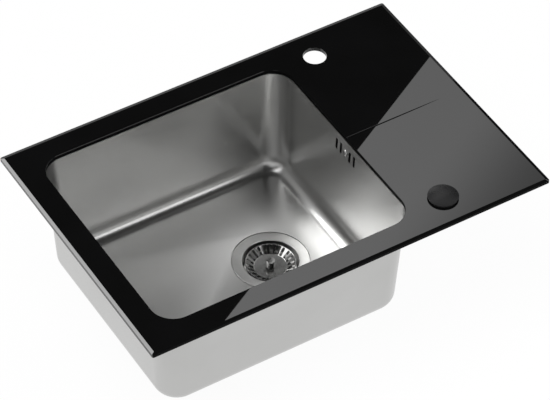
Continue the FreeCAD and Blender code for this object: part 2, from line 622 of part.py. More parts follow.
def pin_guide():
    """Spider in the neck that guides the lift pin."""
    bottom = NECK_BOTTOM + GUIDE_NECK_SETBACK
    top = bottom + GUIDE_HEIGHT
    outer = NECK_BORE_RADIUS - SLIP_GAP
    boss = PIN_RADIUS + GUIDE_BOSS_WALL
    pieces = [ring(outer - GUIDE_RIM, outer, bottom, top, WASTE), cylinder(boss, bottom, top, WASTE)]
    for index in range(GUIDE_SPOKES):
        half = GUIDE_SPOKE_WIDTH / 2
        spoke = box(boss / 2, outer - GUIDE_RIM / 2, -half, half, bottom, top)
        spoke.rotate(V(0, 0, 0), Z_AXIS, GUIDE_SPOKE_START_DEG + index * 360 / GUIDE_SPOKES)
        spoke.translate(V(WASTE_X, WASTE_Y, 0))
        pieces.append(spoke)
    return united(pieces).cut(cylinder(PIN_RADIUS + SLIP_GAP, bottom - CUT_OVER, top + CUT_OVER, WASTE))


def outlet_body():
    """Moulded outlet: chamber on the neck, spigot, overflow inlet, shaft boss and cable bracket."""
    neck_hole = NECK_RADIUS + THREAD_GAP
    spigot_bore = SPIGOT_RADIUS - SPIGOT_WALL
    shell = turned(((0, CHAMBER_TOP), (CHAMBER_RADIUS, CHAMBER_TOP),
                    (CHAMBER_RADIUS, CHAMBER_FLOOR - CHAMBER_WALL), (SPIGOT_RADIUS, SPIGOT_TOP),
                    (SPIGOT_RADIUS, SPIGOT_BOTTOM), (0, SPIGOT_BOTTOM)), WASTE)
    hollow = turned(((0, CHAMBER_TOP), (neck_hole, CHAMBER_TOP), (neck_hole, CHAMBER_ROOF),
                     (CHAMBER_BORE, CHAMBER_ROOF), (CHAMBER_BORE, CHAMBER_FLOOR),
                     (spigot_bore, CHAMBER_FLOOR - CHAMBER_FLOOR_FALL), (spigot_bore, SPIGOT_BOTTOM),
                     (0, SPIGOT_BOTTOM)), WASTE)
    boss = bar_y(SHAFT_BOSS_RADIUS, BOSS_END_Y, WASTE_Y - LEVER_HUB_LENGTH, SHAFT_X, SHAFT_Z)
    inlet = bar_x(SOCKET_RADIUS, SHAFT_X, INLET_END_X, WASTE_Y, INLET_Z)
    bracket = box(BRACKET_X, BRACKET_X + BRACKET_THICKNESS, CRANK_Y - BRACKET_HEIGHT / 2, WASTE_Y,
                  ROD_Z - BRACKET_HEIGHT / 2, ROD_Z + BRACKET_HEIGHT / 2)
    body = united([shell, boss, inlet, bracket]).cut(hollow)
    body = body.cut(bar_y(SHAFT_RADIUS + SLIP_GAP, BOSS_END_Y - CUT_OVER, WASTE_Y, SHAFT_X, SHAFT_Z))
    body = body.cut(bar_y(SHAFT_RADIUS + SHAFT_SEAL_WALL, BOSS_END_Y, BOSS_END_Y + SHAFT_SEAL_LENGTH,
                          SHAFT_X, SHAFT_Z))
    body = body.cut(bar_x(PIPE_RADIUS - PIPE_WALL, SHAFT_X, INLET_END_X, WASTE_Y, INLET_Z))
    body = body.cut(bar_x(SOCKET_BORE, PIPE_END_X, INLET_END_X, WASTE_Y, INLET_Z))
    gland_hole = GLAND_BARREL_RADIUS + SLIP_GAP
    return body.cut(bar_x(gland_hole, BRACKET_X, BRACKET_X + BRACKET_THICKNESS, CRANK_Y, ROD_Z))


def at_rest(shape):
    """Turn a lever piece from its middle position to rest, strainer down."""
    shape.rotate(V(SHAFT_X, 0, SHAFT_Z), Y_AXIS, -math.degrees(HALF_SWING))
    return shape


def lift_lever():
    """Lever inside the chamber that lifts the pin."""
    y0, y1 = WASTE_Y - LEVER_HUB_LENGTH / 2, WASTE_Y + LEVER_HUB_LENGTH / 2
    hub = bar_y(LEVER_HUB_RADIUS, y0, y1, SHAFT_X, SHAFT_Z)
    arm = box(SHAFT_X - LEVER_ARM - LEVER_OVERHANG, SHAFT_X,
              WASTE_Y - LEVER_WIDTH / 2, WASTE_Y + LEVER_WIDTH / 2,
              SHAFT_Z - LEVER_THICKNESS / 2, SHAFT_Z + LEVER_THICKNESS / 2)
    hole = bar_y(SHAFT_RADIUS + SLIP_GAP, y0 - CUT_OVER, y1 + CUT_OVER, SHAFT_X, SHAFT_Z)
    return at_rest(united([hub, arm]).cut(hole))


def shaft_seal():
    """Rubber ring round the lever's shaft, in the end of its boss."""
    end = BOSS_END_Y + SHAFT_SEAL_LENGTH
    outside = bar_y(SHAFT_RADIUS + SHAFT_SEAL_WALL - SLIP_GAP, BOSS_END_Y, end, SHAFT_X, SHAFT_Z)
    return outside.cut(bar_y(SHAFT_RADIUS + SLIP_GAP, BOSS_END_Y, end, SHAFT_X, SHAFT_Z))


def lever_crank():
    """Crank outside the chamber that the cable pushes."""
    y0, y1 = CRANK_Y - CRANK_WIDTH / 2, CRANK_Y + CRANK_WIDTH / 2
    hub = bar_y(CRANK_HUB_RADIUS, y0, y1, SHAFT_X, SHAFT_Z)
    arm = box(SHAFT_X - LEVER_THICKNESS / 2, SHAFT_X + LEVER_THICKNESS / 2, y0, y1,
              SHAFT_Z - CRANK_ARM - CRANK_OVERHANG, SHAFT_Z)
    hole = bar_y(SHAFT_RADIUS + SLIP_GAP, y0 - CUT_OVER, y1 + CUT_OVER, SHAFT_X, SHAFT_Z)
    return at_rest(united([hub, arm]).cut(hole))


def push_rod():
    """End of the cable's wire, with the head that pushes the crank."""
    head = bar_x(ROD_HEAD_RADIUS, ROD_TIP_X, ROD_HEAD_END_X, CRANK_Y, ROD_Z)
    wire = bar_x(WIRE_RADIUS, ROD_TIP_X, SHEATH_END_X + ROD_INSERTION, CRANK_Y, ROD_Z)
    return united([head, wire])


def cable_gland():
    """Gland in the bracket that stops the cable's sheath."""
    flange_start = BRACKET_X + BRACKET_THICKNESS
    barrel = bar_x(GLAND_BARREL_RADIUS, BRACKET_X, GLAND_END_X, CRANK_Y, ROD_Z)
    flange = bar_x(GLAND_FLANGE_RADIUS, flange_start, GLAND_END_X, CRANK_Y, ROD_Z)
    gland = united([barrel, flange]).cut(bar_x(SHEATH_BORE_RADIUS, BRACKET_X, GLAND_END_X, CRANK_Y, ROD_Z))
    return gland.cut(bar_x(SHEATH_RADIUS + SHEATH_SOCKET_GAP, SHEATH_END_X, GLAND_END_X, CRANK_Y, ROD_Z))


def cable_sheath():
    """Cable sheath from the button's base, back and down beside the bowl, then across to the gland."""
    top = V(BUTTON_X, BUTTON_Y, BASE_BOTTOM)
    low = V(BUTTON_X, CRANK_Y, ROD_Z)
    end = V(SHEATH_END_X, CRANK_Y, ROD_Z)
    route = [top, top - V(0, 0, CABLE_DROP), low + V(0, 0, CABLE_UPRIGHT), low, end]
    path = bent_path(route, CABLE_BENDS)
    return swept_rod(path, SHEATH_RADIUS).cut(swept_rod(path, SHEATH_BORE_RADIUS))


def overflow_frame(x0, x1, half_length, half_height, corner):
    """Rounded plate standing on the wall: thickness along X, long side along Y."""
    plate = rounded_prism((-half_height, half_height, -half_length, half_length), corner, x0, x1)
    plate.rotate(V(0, 0, 0), Y_AXIS, 90)
    return plate


def overflow_gasket():
    """Gasket between the bowl's wall and the overflow housing."""
    outer = overflow_frame(0, OVERFLOW_GASKET_THICKNESS, OVERFLOW_HALF_LENGTH, OVERFLOW_HALF_HEIGHT,
                           OVERFLOW_CORNER)
    window = overflow_frame(-CUT_OVER, CUT_OVER, OVERFLOW_WINDOW_LENGTH / 2, OVERFLOW_WINDOW_HEIGHT / 2,
                            OVERFLOW_CORNER / 2)
    return on_wall(outer.cut(window))


def overflow_elbow():
    """Hollow housing behind the overflow slots, with a screw boss and a socket that points down."""
    start, end = OVERFLOW_GASKET_THICKNESS, OVERFLOW_HOUSING_DEPTH
    back = end - OVERFLOW_HOUSING_BACK
    body = on_wall(overflow_frame(start, end, OVERFLOW_HALF_LENGTH, OVERFLOW_HALF_HEIGHT, OVERFLOW_CORNER))
    cavity = on_wall(overflow_frame(start, back, OVERFLOW_WINDOW_LENGTH / 2, OVERFLOW_WINDOW_HEIGHT / 2,
                                    OVERFLOW_CORNER / 2))
    pipe = (PIPE_X, OVERFLOW_Y)
    socket = cylinder(SOCKET_RADIUS, ELBOW_BOTTOM, OVERFLOW_Z - OVERFLOW_WINDOW_HEIGHT / 2, pipe)
    boss = on_wall(bar_x(OVERFLOW_BOSS_RADIUS, start, end - OVERFLOW_HOUSING_BACK / 2, 0, 0))
    hole = on_wall(bar_x(OVERFLOW_SCREW_RADIUS + SLIP_GAP, start, OVERFLOW_SCREW_LENGTH, 0, 0))
    elbow = united([body, socket]).cut(cavity)
    drain = cylinder(PIPE_RADIUS - PIPE_WALL, ELBOW_BOTTOM, OVERFLOW_Z - OVERFLOW_BOSS_RADIUS, pipe)
    elbow = elbow.cut(drain).cut(cylinder(SOCKET_BORE, ELBOW_BOTTOM, PIPE_TOP, pipe))
    return united([elbow, boss]).cut(hole)


def overflow_screw():
    """Slotted screw through the bowl's wall into the housing."""
    inside = -BOWL_SHEET
    head_top = inside - OVERFLOW_SCREW_HEAD_HEIGHT
    head = bar_x(OVERFLOW_SCREW_HEAD_RADIUS, head_top, inside, 0, 0)
    shank = bar_x(OVERFLOW_SCREW_RADIUS, head_top, OVERFLOW_SCREW_LENGTH - SEAT_GAP, 0, 0)
    slot = box(head_top, head_top + OVERFLOW_SCREW_HEAD_HEIGHT / 2, -OVERFLOW_SCREW_SLOT / 2,
               OVERFLOW_SCREW_SLOT / 2, -OVERFLOW_SCREW_HEAD_RADIUS, OVERFLOW_SCREW_HEAD_RADIUS)
    return on_wall(united([head, shank]).cut(slot))


def overflow_pipe():
    """Rigid pipe from the overflow down past the bowl and across to the outlet."""
    route = [V(PIPE_X, OVERFLOW_Y, PIPE_TOP), V(PIPE_X, OVERFLOW_Y, INLET_Z), V(PIPE_END_X, WASTE_Y, INLET_Z)]
    path = bent_path(route, (PIPE_BEND,))
    return swept_rod(path, PIPE_RADIUS).cut(swept_rod(path, PIPE_RADIUS - PIPE_WALL))


def pipe_nut():
    """Compression nut about Z: its mouth at z = 0, its lip below."""
    bottom = -PIPE_NUT_LENGTH - PIPE_NUT_LIP
    outside = turned(((0, bottom), (PIPE_NUT_RADIUS - PIPE_NUT_CHAMFER, bottom),
                      (PIPE_NUT_RADIUS, -PIPE_NUT_LENGTH), (PIPE_NUT_RADIUS, 0), (0, 0)), (0, 0))
    mouth = cylinder(SOCKET_RADIUS + THREAD_GAP, -PIPE_NUT_LENGTH, CUT_OVER, (0, 0))
    passage = cylinder(PIPE_RADIUS + THREAD_GAP, bottom - CUT_OVER, 0, (0, 0))
    return outside.cut(mouth).cut(passage)


def pipe_seal():
    """Rubber ring under a pipe nut's socket, its upper face at z = 0."""
    return ring(PIPE_RADIUS + THREAD_GAP, SOCKET_RADIUS, -PIPE_SEAL_THICKNESS, 0, (0, 0))


def at_elbow(shape, lift):
    """Place a pipe fitting at the overflow housing's socket."""
    shape.translate(V(PIPE_X, OVERFLOW_Y, ELBOW_BOTTOM + lift))
    return shape


def at_inlet(shape, lift):
    """Place a pipe fitting at the outlet's inlet, turned so that its mouth faces -X."""
    shape.rotate(V(0, 0, 0), Y_AXIS, -90)
    shape.translate(V(INLET_END_X - lift, WASTE_Y, INLET_Z))
    return shape


def button_cap():
    """Low domed button on a stem that runs in the housing."""
    top = CAP_EDGE + CAP_DOME
    dome_radius = (CAP_RADIUS ** 2 + CAP_DOME ** 2) / (2 * CAP_DOME)
    blank = cylinder(CAP_RADIUS, CAP_BOTTOM, top, BUTTON)
    dome = Part.makeSphere(dome_radius, V(BUTTON_X, BUTTON_Y, top - dome_radius))
    hollow = cylinder(CAP_RADIUS - CAP_SKIRT, CAP_BOTTOM - CUT_OVER, CAP_INSIDE, BUTTON)
    stem = cylinder(BUTTON_STEM_RADIUS, PLUNGER_TOP, CAP_EDGE, BUTTON)
    crown = blank.common(dome)
    rim = [e for e in crown.Edges if abs(e.BoundBox.ZMax - CAP_EDGE) < 0.01]
    return united([crown.makeFillet(CAP_ROUNDING, rim).cut(hollow), stem])


def button_housing():
    """Threaded barrel through the glass: bezel on top, guide for the stem, spring space below."""
    bezel = cylinder(BEZEL_RADIUS, BEZEL_BOTTOM, BEZEL_TOP, BUTTON)
    barrel = cylinder(BARREL_RADIUS, BARREL_BOTTOM, BEZEL_TOP, BUTTON)
    guide = cylinder(BUTTON_STEM_RADIUS + SLIP_GAP, BARREL_BOTTOM, BEZEL_TOP, BUTTON)
    spring_space = cylinder(BARREL_RADIUS - BARREL_WALL, BARREL_BOTTOM, GUIDE_FLOOR, BUTTON)
    return united([bezel, barrel]).cut(guide).cut(spring_space)


def button_nut():
    """Six-sided nut that holds the housing under the glass."""
    bottom = BUTTON_NUT_TOP - BUTTON_NUT_HEIGHT
    return hex_nut(BUTTON_NUT_RADIUS, BARREL_RADIUS + THREAD_GAP, bottom, BUTTON_NUT_TOP, BUTTON)


def button_plunger():
    """Collar under the stem, with the upper end of the cable's wire."""
    collar = cylinder(PLUNGER_RADIUS, PLUNGER_BOTTOM, PLUNGER_TOP, BUTTON)
    wire = cylinder(WIRE_RADIUS, BASE_BOTTOM - WIRE_STUB, PLUNGER_TOP, BUTTON)
    return united([collar, wire])


def button_spring():
    """Return spring: one wire on quarter turns that rise evenly from the base to the collar."""
    low = BARREL_BOTTOM + SPRING_WIRE_RADIUS + SPRING_END_GAP
    high = PLUNGER_BOTTOM - SPRING_WIRE_RADIUS - SPRING_END_GAP
    quarters = 4 * SPRING_TURNS

    def point(quarter):
        angle = math.pi / 2 * quarter
        return V(BUTTON_X + SPRING_COIL_RADIUS * math.cos(angle),
                 BUTTON_Y + SPRING_COIL_RADIUS * math.sin(angle),
                 low + (high - low) * quarter / quarters)

    arcs = [Part.Arc(point(q), point(q + 0.5), point(q + 1)).toShape() for q in range(quarters)]
    print("spring gap between turns", round((high - low) / SPRING_TURNS - 2 * SPRING_WIRE_RADIUS, 2))
    return swept_rod(Part.Wire(arcs), SPRING_WIRE_RADIUS)


def button_base():
    """Plug that closes the barrel, carries the spring and holds the cable's sheath."""
    plug = united([cylinder(BARREL_RADIUS, BASE_BOTTOM, BARREL_BOTTOM, BUTTON),
                   cylinder(BASE_BOSS_RADIUS, BOSS_BOTTOM, BARREL_BOTTOM, BUTTON)])
    plug = plug.cut(cylinder(SHEATH_BORE_RADIUS, BOSS_BOTTOM, BARREL_BOTTOM, BUTTON))
    return plug.cut(cylinder(SHEATH_RADIUS + SHEATH_SOCKET_GAP, BOSS_BOTTOM, BASE_BOTTOM, BUTTON))


def build():
    """All pieces by node name."""
    nut_lift = PIPE_NUT_LENGTH - PIPE_SEAL_THICKNESS
    shaft_start = CRANK_Y - CRANK_WIDTH / 2
    barrel_hole = BARREL_RADIUS + THREAD_GAP
    return {
        "glass_deck": glass_deck(),
        "deck_bond": deck_bond(),
        "worktop_seal": worktop_seal(),
        "rail_front": placed_rail(LONG_RAIL_LENGTH, 0, RAIL_REACH_Y),
        "rail_back": placed_rail(LONG_RAIL_LENGTH, 180, RAIL_REACH_Y),
        "rail_left": placed_rail(SHORT_RAIL_LENGTH, -90, RAIL_REACH_X),
        "rail_right": placed_rail(SHORT_RAIL_LENGTH, 90, RAIL_REACH_X),
        "bowl": bowl(),
        "sound_pad": sound_pad(),
        "waste_cup": waste_cup(),
        "waste_top_gasket": waste_gasket(FLOOR - RECESS_DEPTH, FLOOR - CUP_FLANGE_THICKNESS),
        "waste_bottom_gasket": waste_gasket(FRICTION_RING_TOP, RECESS_UNDERSIDE),
        "waste_friction_ring": waste_gasket(LOCKNUT_TOP, FRICTION_RING_TOP),
        "waste_locknut": waste_locknut(),
        "strainer_basket": strainer_basket(),
        "strainer_knob": strainer_knob(),
        "strainer_stem": strainer_stem(),
        "strainer_seal": ring(PIN_RADIUS + SLIP_GAP, STRAINER_SEAL_RADIUS, SEAL_SEAT, SEAL_TOP, WASTE),
        "strainer_nut": strainer_nut(),
        "outlet_washer": ring(NECK_RADIUS + THREAD_GAP, CHAMBER_RADIUS, CHAMBER_TOP, CUP_UNDERSIDE, WASTE),
        "outlet_body": outlet_body(),
        "pin_guide": pin_guide(),
        "lift_pin": cylinder(PIN_RADIUS, PIN_BOTTOM, PIN_TOP, WASTE),
        "lift_lever": lift_lever(),
        "lever_shaft": bar_y(SHAFT_RADIUS, shaft_start, WASTE_Y + SHAFT_END, SHAFT_X, SHAFT_Z),
        "shaft_seal": shaft_seal(),
        "lever_crank": lever_crank(),
        "push_rod": push_rod(),
        "cable_gland": cable_gland(),
        "cable_sheath": cable_sheath(),
        "overflow_gasket": overflow_gasket(),
        "overflow_elbow": overflow_elbow(),
        "overflow_screw": overflow_screw(),
        "overflow_pipe": overflow_pipe(),
        "pipe_nut_top": at_elbow(pipe_nut(), nut_lift),
        "pipe_nut_bottom": at_inlet(pipe_nut(), nut_lift),
        "pipe_seal_top": at_elbow(pipe_seal(), 0),
        "pipe_seal_bottom": at_inlet(pipe_seal(), 0),
        "button_cap": button_cap(),
        "button_housing": button_housing(),
        "button_gasket": ring(barrel_hole, BEZEL_RADIUS, DECK_TOP, BEZEL_BOTTOM, BUTTON),
        "button_washer": ring(barrel_hole, BUTTON_NUT_RADIUS, BUTTON_NUT_TOP, GLASS_BOTTOM, BUTTON),
        "button_nut": button_nut(),
        "button_plunger": button_plunger(),
        "button_spring": button_spring(),
        "button_base": button_base(),
    }


def main():
    os.makedirs("parts", exist_ok=True)
    for name, shape in build().items():
        print(name, "solids", len(shape.Solids), "valid", shape.isValid(), "volume", round(shape.Volume, 1))
        shape.exportStep("parts/" + name + ".step")


main()
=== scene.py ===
import json
import math

import bmesh
import bpy
import numpy as np
from mathutils import Matrix, Vector
from mathutils.geometry import tessellate_polygon


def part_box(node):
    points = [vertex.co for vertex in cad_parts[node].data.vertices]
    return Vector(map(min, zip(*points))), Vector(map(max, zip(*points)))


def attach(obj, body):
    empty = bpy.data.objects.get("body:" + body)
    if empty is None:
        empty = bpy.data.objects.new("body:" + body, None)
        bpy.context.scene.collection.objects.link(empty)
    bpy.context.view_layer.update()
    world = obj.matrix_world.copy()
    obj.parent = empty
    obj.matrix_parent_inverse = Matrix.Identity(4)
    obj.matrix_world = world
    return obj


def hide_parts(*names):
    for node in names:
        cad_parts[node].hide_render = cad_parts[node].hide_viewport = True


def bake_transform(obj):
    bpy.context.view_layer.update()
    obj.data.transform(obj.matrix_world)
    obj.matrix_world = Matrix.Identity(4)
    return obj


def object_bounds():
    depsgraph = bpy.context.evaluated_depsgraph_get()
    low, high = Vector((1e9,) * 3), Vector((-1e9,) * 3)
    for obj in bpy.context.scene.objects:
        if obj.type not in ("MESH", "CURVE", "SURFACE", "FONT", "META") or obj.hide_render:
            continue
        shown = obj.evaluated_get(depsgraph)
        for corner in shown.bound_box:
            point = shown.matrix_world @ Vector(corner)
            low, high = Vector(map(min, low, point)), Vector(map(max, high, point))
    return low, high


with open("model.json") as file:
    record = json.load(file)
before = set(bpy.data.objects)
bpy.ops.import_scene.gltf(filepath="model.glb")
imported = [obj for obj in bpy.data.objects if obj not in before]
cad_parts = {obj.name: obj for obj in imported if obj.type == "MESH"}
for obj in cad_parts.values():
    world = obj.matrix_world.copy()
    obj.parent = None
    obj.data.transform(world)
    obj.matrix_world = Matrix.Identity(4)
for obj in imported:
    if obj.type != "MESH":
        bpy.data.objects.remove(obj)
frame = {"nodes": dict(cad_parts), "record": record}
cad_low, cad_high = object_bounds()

# Inset kitchen sink: black glass deck, satin steel bowl, basket waste with a push button.
# Shapes are worked out in millimetres and put into the meshes in metres.

MM = 0.001


def corners(node):
    """Lowest and highest corner of a CAD node, in millimetres."""
    low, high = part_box(node)
    return np.array(low) / MM, np.array(high) / MM


def middle(node):
    """Centre of a CAD node in plan, in millimetres."""
    low, high = corners(node)
    return (low[:2] + high[:2]) / 2


def grown(sides, distance):
    """Rectangle (x0, x1, y0, y1) with every side moved outwards."""
    x0, x1, y0, y1 = sides
    return (x0 - distance, x1 + distance, y0 - distance, y1 + distance)


# Sizes read from the frame
DECK_LOW, DECK_HIGH = corners("glass_deck")
BOND_LOW, BOND_HIGH = corners("deck_bond")
CUP_LOW, CUP_HIGH = corners("waste_cup")
BASKET_LOW, BASKET_HIGH = corners("strainer_basket")
KNOB_LOW, KNOB_HIGH = corners("strainer_knob")
CAP_LOW, CAP_HIGH = corners("button_cap")
SPRING_LOW, SPRING_HIGH = corners("button_spring")
WASTE = middle("waste_cup")
BUTTON = middle("button_cap")
TAP_MOUNT = next(m for m in frame["record"]["mounts"] if m["name"] == "tap_hole")
TAP_HOLE = np.array(TAP_MOUNT["pos_m"][:2]) / MM
TAP_HOLE_RADIUS = TAP_MOUNT["dims"]["r_mm"]

# Glass deck
GLASS_BOTTOM, GLASS_TOP = DECK_LOW[2], DECK_HIGH[2]
DECK = (DECK_LOW[0], DECK_HIGH[0], DECK_LOW[1], DECK_HIGH[1])
DECK_CORNER = 3.0
BEVEL_WIDTH = 5.0
BEVEL_DEPTH = 1.0
BEVEL_CORNER = 0.6
ARRIS = 0.25
BUTTON_HOLE_RADIUS = 17.5
GROOVE_END = DECK[1] - 40.0
GROOVE_RUN_OUT = 4.0
GROOVE_ROWS = 25
# Section of the groove as (place across, depth), from its steep front flank to its gentle back flank
GROOVE_SECTION = np.array((
    (-1.42, 0), (-1.05, 0.66), (-0.98, 0.70), (-0.85, 0.66), (-0.45, 0.51), (-0.05, 0.36),
    (0.35, 0.21), (0.6, 0.115), (0.8, 0.045), (0.95, 0.012), (1.15, 0)))

# Bowl
FLANGE_WIDTH = 12.0
OPENING = grown((BOND_LOW[0], BOND_HIGH[0], BOND_LOW[1], BOND_HIGH[1]), -FLANGE_WIDTH)
OPENING_RADIUS = 35.5
FLANGE_TOP = BOND_LOW[2]
SHEET = 0.8
FLOOR = CUP_HIGH[2]
DRAFT = math.radians(2.5)
FOOT_RADIUS = 23.0
FOOT_GUARD = 2.0
BOWL_CORNER_STEPS = 20
RECESS_RADIUS = 58.3
RECESS_DEPTH = 2.2
RECESS_EDGE = 0.3
WASTE_HOLE_RADIUS = 45.0
OVERFLOW_Z = GLASS_TOP - 29.5
SLOT_OFFSETS = (-23.0, -11.7, 11.7, 23.0)
SLOT_WIDTH = 5.2
SLOT_HEIGHT = 20.0
SLOT_CORNER = 1.4
WALL_BAND = (OVERFLOW_Z + 16.0, OVERFLOW_Z - 16.0)

# Overflow screw
SCREW_RADIUS = 5.0
SCREW_HEIGHT = 2.2
SCREW_RIM = 1.0
SCREW_DOME_POWER = 2.6
SCREW_SLOT_HALF = 0.6
SCREW_SLOT_DEPTH = 1.1
SCREW_SHANK = 2.5
SCREW_LENGTH = 18.5

# Waste
CUP_SHADOW_LINE = 0.4
CUP_RADIUS = (CUP_HIGH[0] - CUP_LOW[0]) / 2 - CUP_SHADOW_LINE
CUP_FLANGE = 1.2
CUP_FLANGE_FLAT = 2.5
CUP_FLOOR = FLOOR - 22.0
CUP_WALL = 1.5
THROAT_RADIUS = 41.5
THROAT_LIP = 1.0
NECK_BORE = 24.0
NECK_RADIUS = 27.0
BASKET_RADIUS = (BASKET_HIGH[0] - BASKET_LOW[0]) / 2
BASKET_SHEET = 1.0
BASKET_FLOOR = KNOB_LOW[2]
BASKET_FLOOR_RADIUS = 24.4
BASKET_FLOOR_ROUNDING = 1.2
BASKET_RIM_WIDTH = 1.2
BASKET_RIM_ROUNDING = 1.0
BASKET_SLOTS = 22
BASKET_SLOT_WIDTH = 4.3
BASKET_SLOT_SETBACK = 0.6
# Rounded end of a slot as (distance from the end, narrowing at each side)
BASKET_SLOT_END = np.array(((0.0, 1.1), (0.35, 0.35), (1.1, 0.0)))
BASKET_SLOT_SHARE = 0.3
BASKET_RIB_COLUMNS = np.array((0.0, 0.33, 0.67))
BASKET_ROW_GAP = 0.25
BASKET_EDGE = 0.12
SPINDLE_HOLE = 3.05
KNOB_RADIUS = (KNOB_HIGH[0] - KNOB_LOW[0]) / 2
KNOB_TAPER = 0.3
KNOB_EDGE = 0.4
KNOB_SHOULDER = 2.0
KNOB_ROOF = 3.0
# Upward share of a face's normal from which basket and knob count as flat and take their satin, whose
# darker colour is painted shade
FLAT = 0.97

# Button
CAP_RADIUS = (CAP_HIGH[0] - CAP_LOW[0]) / 2
CAP_BOTTOM = GLASS_TOP + 3.0
CAP_DOME = 2.1
CAP_DOME_MARGIN = 0.2
CAP_ROUNDING = 0.4
CAP_SKIRT = 1.2
CAP_INSIDE = GLASS_TOP + 3.5
CAP_STEM = 6.0
SPRING_WIRE = 0.6
SPRING_COIL = 8.0
SPRING_TURNS = 5
SPRING_STEPS = 40


# Outlines and profiles

def arc(centre, radius, start, end, steps):
    """Points on a circle: centre + radius (cos a, sin a), a running evenly from start to end in radians."""
    angle = np.linspace(start, end, steps + 1)
    return np.stack([centre[0] + radius * np.cos(angle), centre[1] + radius * np.sin(angle)], axis=1)


def circle(centre, radius, steps):
    """Closed circle without its repeated last point."""
    return arc(centre, radius, 0, 2 * math.pi, steps)[:-1]


def rounded_loop(sides, radius, steps, right_stops=()):
    """Rectangle with quarter-circle corners, anticlockwise: the stops on the right side, then the four
    corners in turn, each a quarter circle in even steps."""
    x0, x1, y0, y1 = sides
    stops = np.array([(x1, y) for y in right_stops]).reshape(-1, 2)
    centres = ((x1 - radius, y1 - radius), (x0 + radius, y1 - radius),
               (x0 + radius, y0 + radius), (x1 - radius, y0 + radius))
    turns = [arc(c, radius, k * math.pi / 2, (k + 1) * math.pi / 2, steps) for k, c in enumerate(centres)]
    return np.concatenate([stops] + turns)


def at_height(loop, z):
    """Plan points raised to a height, which is one number or one for each point."""
    return np.column_stack([loop, np.broadcast_to(z, len(loop))])


def rounded_profile(points, radii, steps=6):
    """Open polyline whose inner corners become tangent arcs: each arc's centre lies on the corner's
    bisector at radius / sin(half angle), and a radius of 0 keeps the corner."""
    points = np.array(points, float)
    line = [points[:1]]
    for before, corner, after, radius in zip(points, points[1:], points[2:], radii):
        back = (before - corner) / np.linalg.norm(before - corner)
        on = (after - corner) / np.linalg.norm(after - corner)
        half = math.acos(np.clip(back @ on, -1, 1)) / 2
        if radius == 0:
            line.append(corner[None])
            continue
        bisector = (back + on) / np.linalg.norm(back + on)
        centre = corner + bisector * radius / math.sin(half)
        first = corner + back * radius / math.tan(half) - centre
        last = corner + on * radius / math.tan(half) - centre
        share = np.linspace(0, 1, steps + 1)[:, None]
        turn = math.pi - 2 * half
        swing = (np.sin((1 - share) * turn) * first + np.sin(share * turn) * last) / math.sin(turn)
        line.append(centre + swing)
    return np.concatenate(line + [points[-1:]])


# Meshes

# Distances in metres: points closer than the first become one, edges shorter than the second go
WELD = 1e-6
THIN = 1e-7


class Skin:
    """Gathers patches of faces into one mesh, shaded smooth inside a patch and sharp between patches."""

    def __init__(self):
        self.points = []
        self.faces = []
        self.patches = []
        self.count = 0

    def put(self, points, faces, patch):
        """Add points (n, 3) with faces given by their index."""
        self.points.append(np.asarray(points, float))
        self.faces.extend(tuple(int(i) + self.count for i in face) for face in faces)
        self.patches.extend([patch] * len(faces))
        self.count += len(points)

    def grid(self, rows, patch, closed=True, keep=None):
        """Quads between rows of points, each row a closed loop unless said; keep masks single quads."""
        rows = np.asarray(rows, float)
        height, width = rows.shape[:2]
        r = np.arange(height - 1)[:, None]
        c = np.arange(width if closed else width - 1)[None, :]
        near, far = r * width, (r + 1) * width
        right = (c + 1) % width
        quads = np.stack(np.broadcast_arrays(near + c, near + right, far + right, far + c), axis=-1)
        quads = quads[keep] if keep is not None else quads.reshape(-1, 4)
        self.put(rows.reshape(-1, 3), quads, patch)

    def plane(self, loops, patch):
        """Flat region inside the first loop and outside the others, cut into triangles."""
        faces = tessellate_polygon([[Vector(p) for p in loop] for loop in loops])
        self.put(np.concatenate(loops), faces, patch)

    def done(self, name):
        """One welded object in metres, with faces outwards, smooth inside each patch."""
        mesh = bpy.data.meshes.new(name)
        mesh.from_pydata(np.concatenate(self.points) * MM, [], self.faces)
        tag = mesh.attributes.new("patch", "INT", "FACE")
        tag.data.foreach_set("value", np.array(self.patches, np.int32))
        work = bmesh.new()
        work.from_mesh(mesh)
        bmesh.ops.remove_doubles(work, verts=work.verts, dist=WELD)
        bmesh.ops.dissolve_degenerate(work, edges=work.edges, dist=THIN)
        bmesh.ops.recalc_face_normals(work, faces=work.faces)
        layer = work.faces.layers.int["patch"]
        for edge in work.edges:
            edge.smooth = len({face[layer] for face in edge.link_faces}) < 2
        for face in work.faces:
            face.smooth = True
        work.to_mesh(mesh)
        work.free()
        piece = bpy.data.objects.new(name, mesh)
        bpy.context.scene.collection.objects.link(piece)
        return piece


def lathe(skin, profile, centre, segments, patch=0):
    """Surface of revolution: (x, y) = centre + r (cos a, sin a), z from the profile."""
    profile = np.asarray(profile, float)
    angle = np.linspace(0, 2 * math.pi, segments, endpoint=False)
    r, z = profile[:, :1], profile[:, 1:]
    rows = np.stack([centre[0] + r * np.cos(angle), centre[1] + r * np.sin(angle),
                     np.broadcast_to(z, (len(profile), segments))], axis=-1)
    skin.grid(rows, patch)


def fit(piece, body, node, *finishes):
    """The piece stands for a CAD node, moves with its body and takes its finishes."""
    for finish in finishes:
        piece.data.materials.append(FINISHES[finish])
    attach(piece, body)
    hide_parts(node)


def second_finish(piece, rule):
    """Give a piece's second finish to the faces that a rule picks by their patch and normal."""
    count = len(piece.data.polygons)
    patch = np.empty(count, np.int32)
    normal = np.empty(3 * count, np.float32)
    piece.data.attributes["patch"].data.foreach_get("value", patch)
    piece.data.polygons.foreach_get("normal", normal)
    picked = rule(patch, normal.reshape(-1, 3))
    piece.data.polygons.foreach_set("material_index", picked.astype(np.int32))


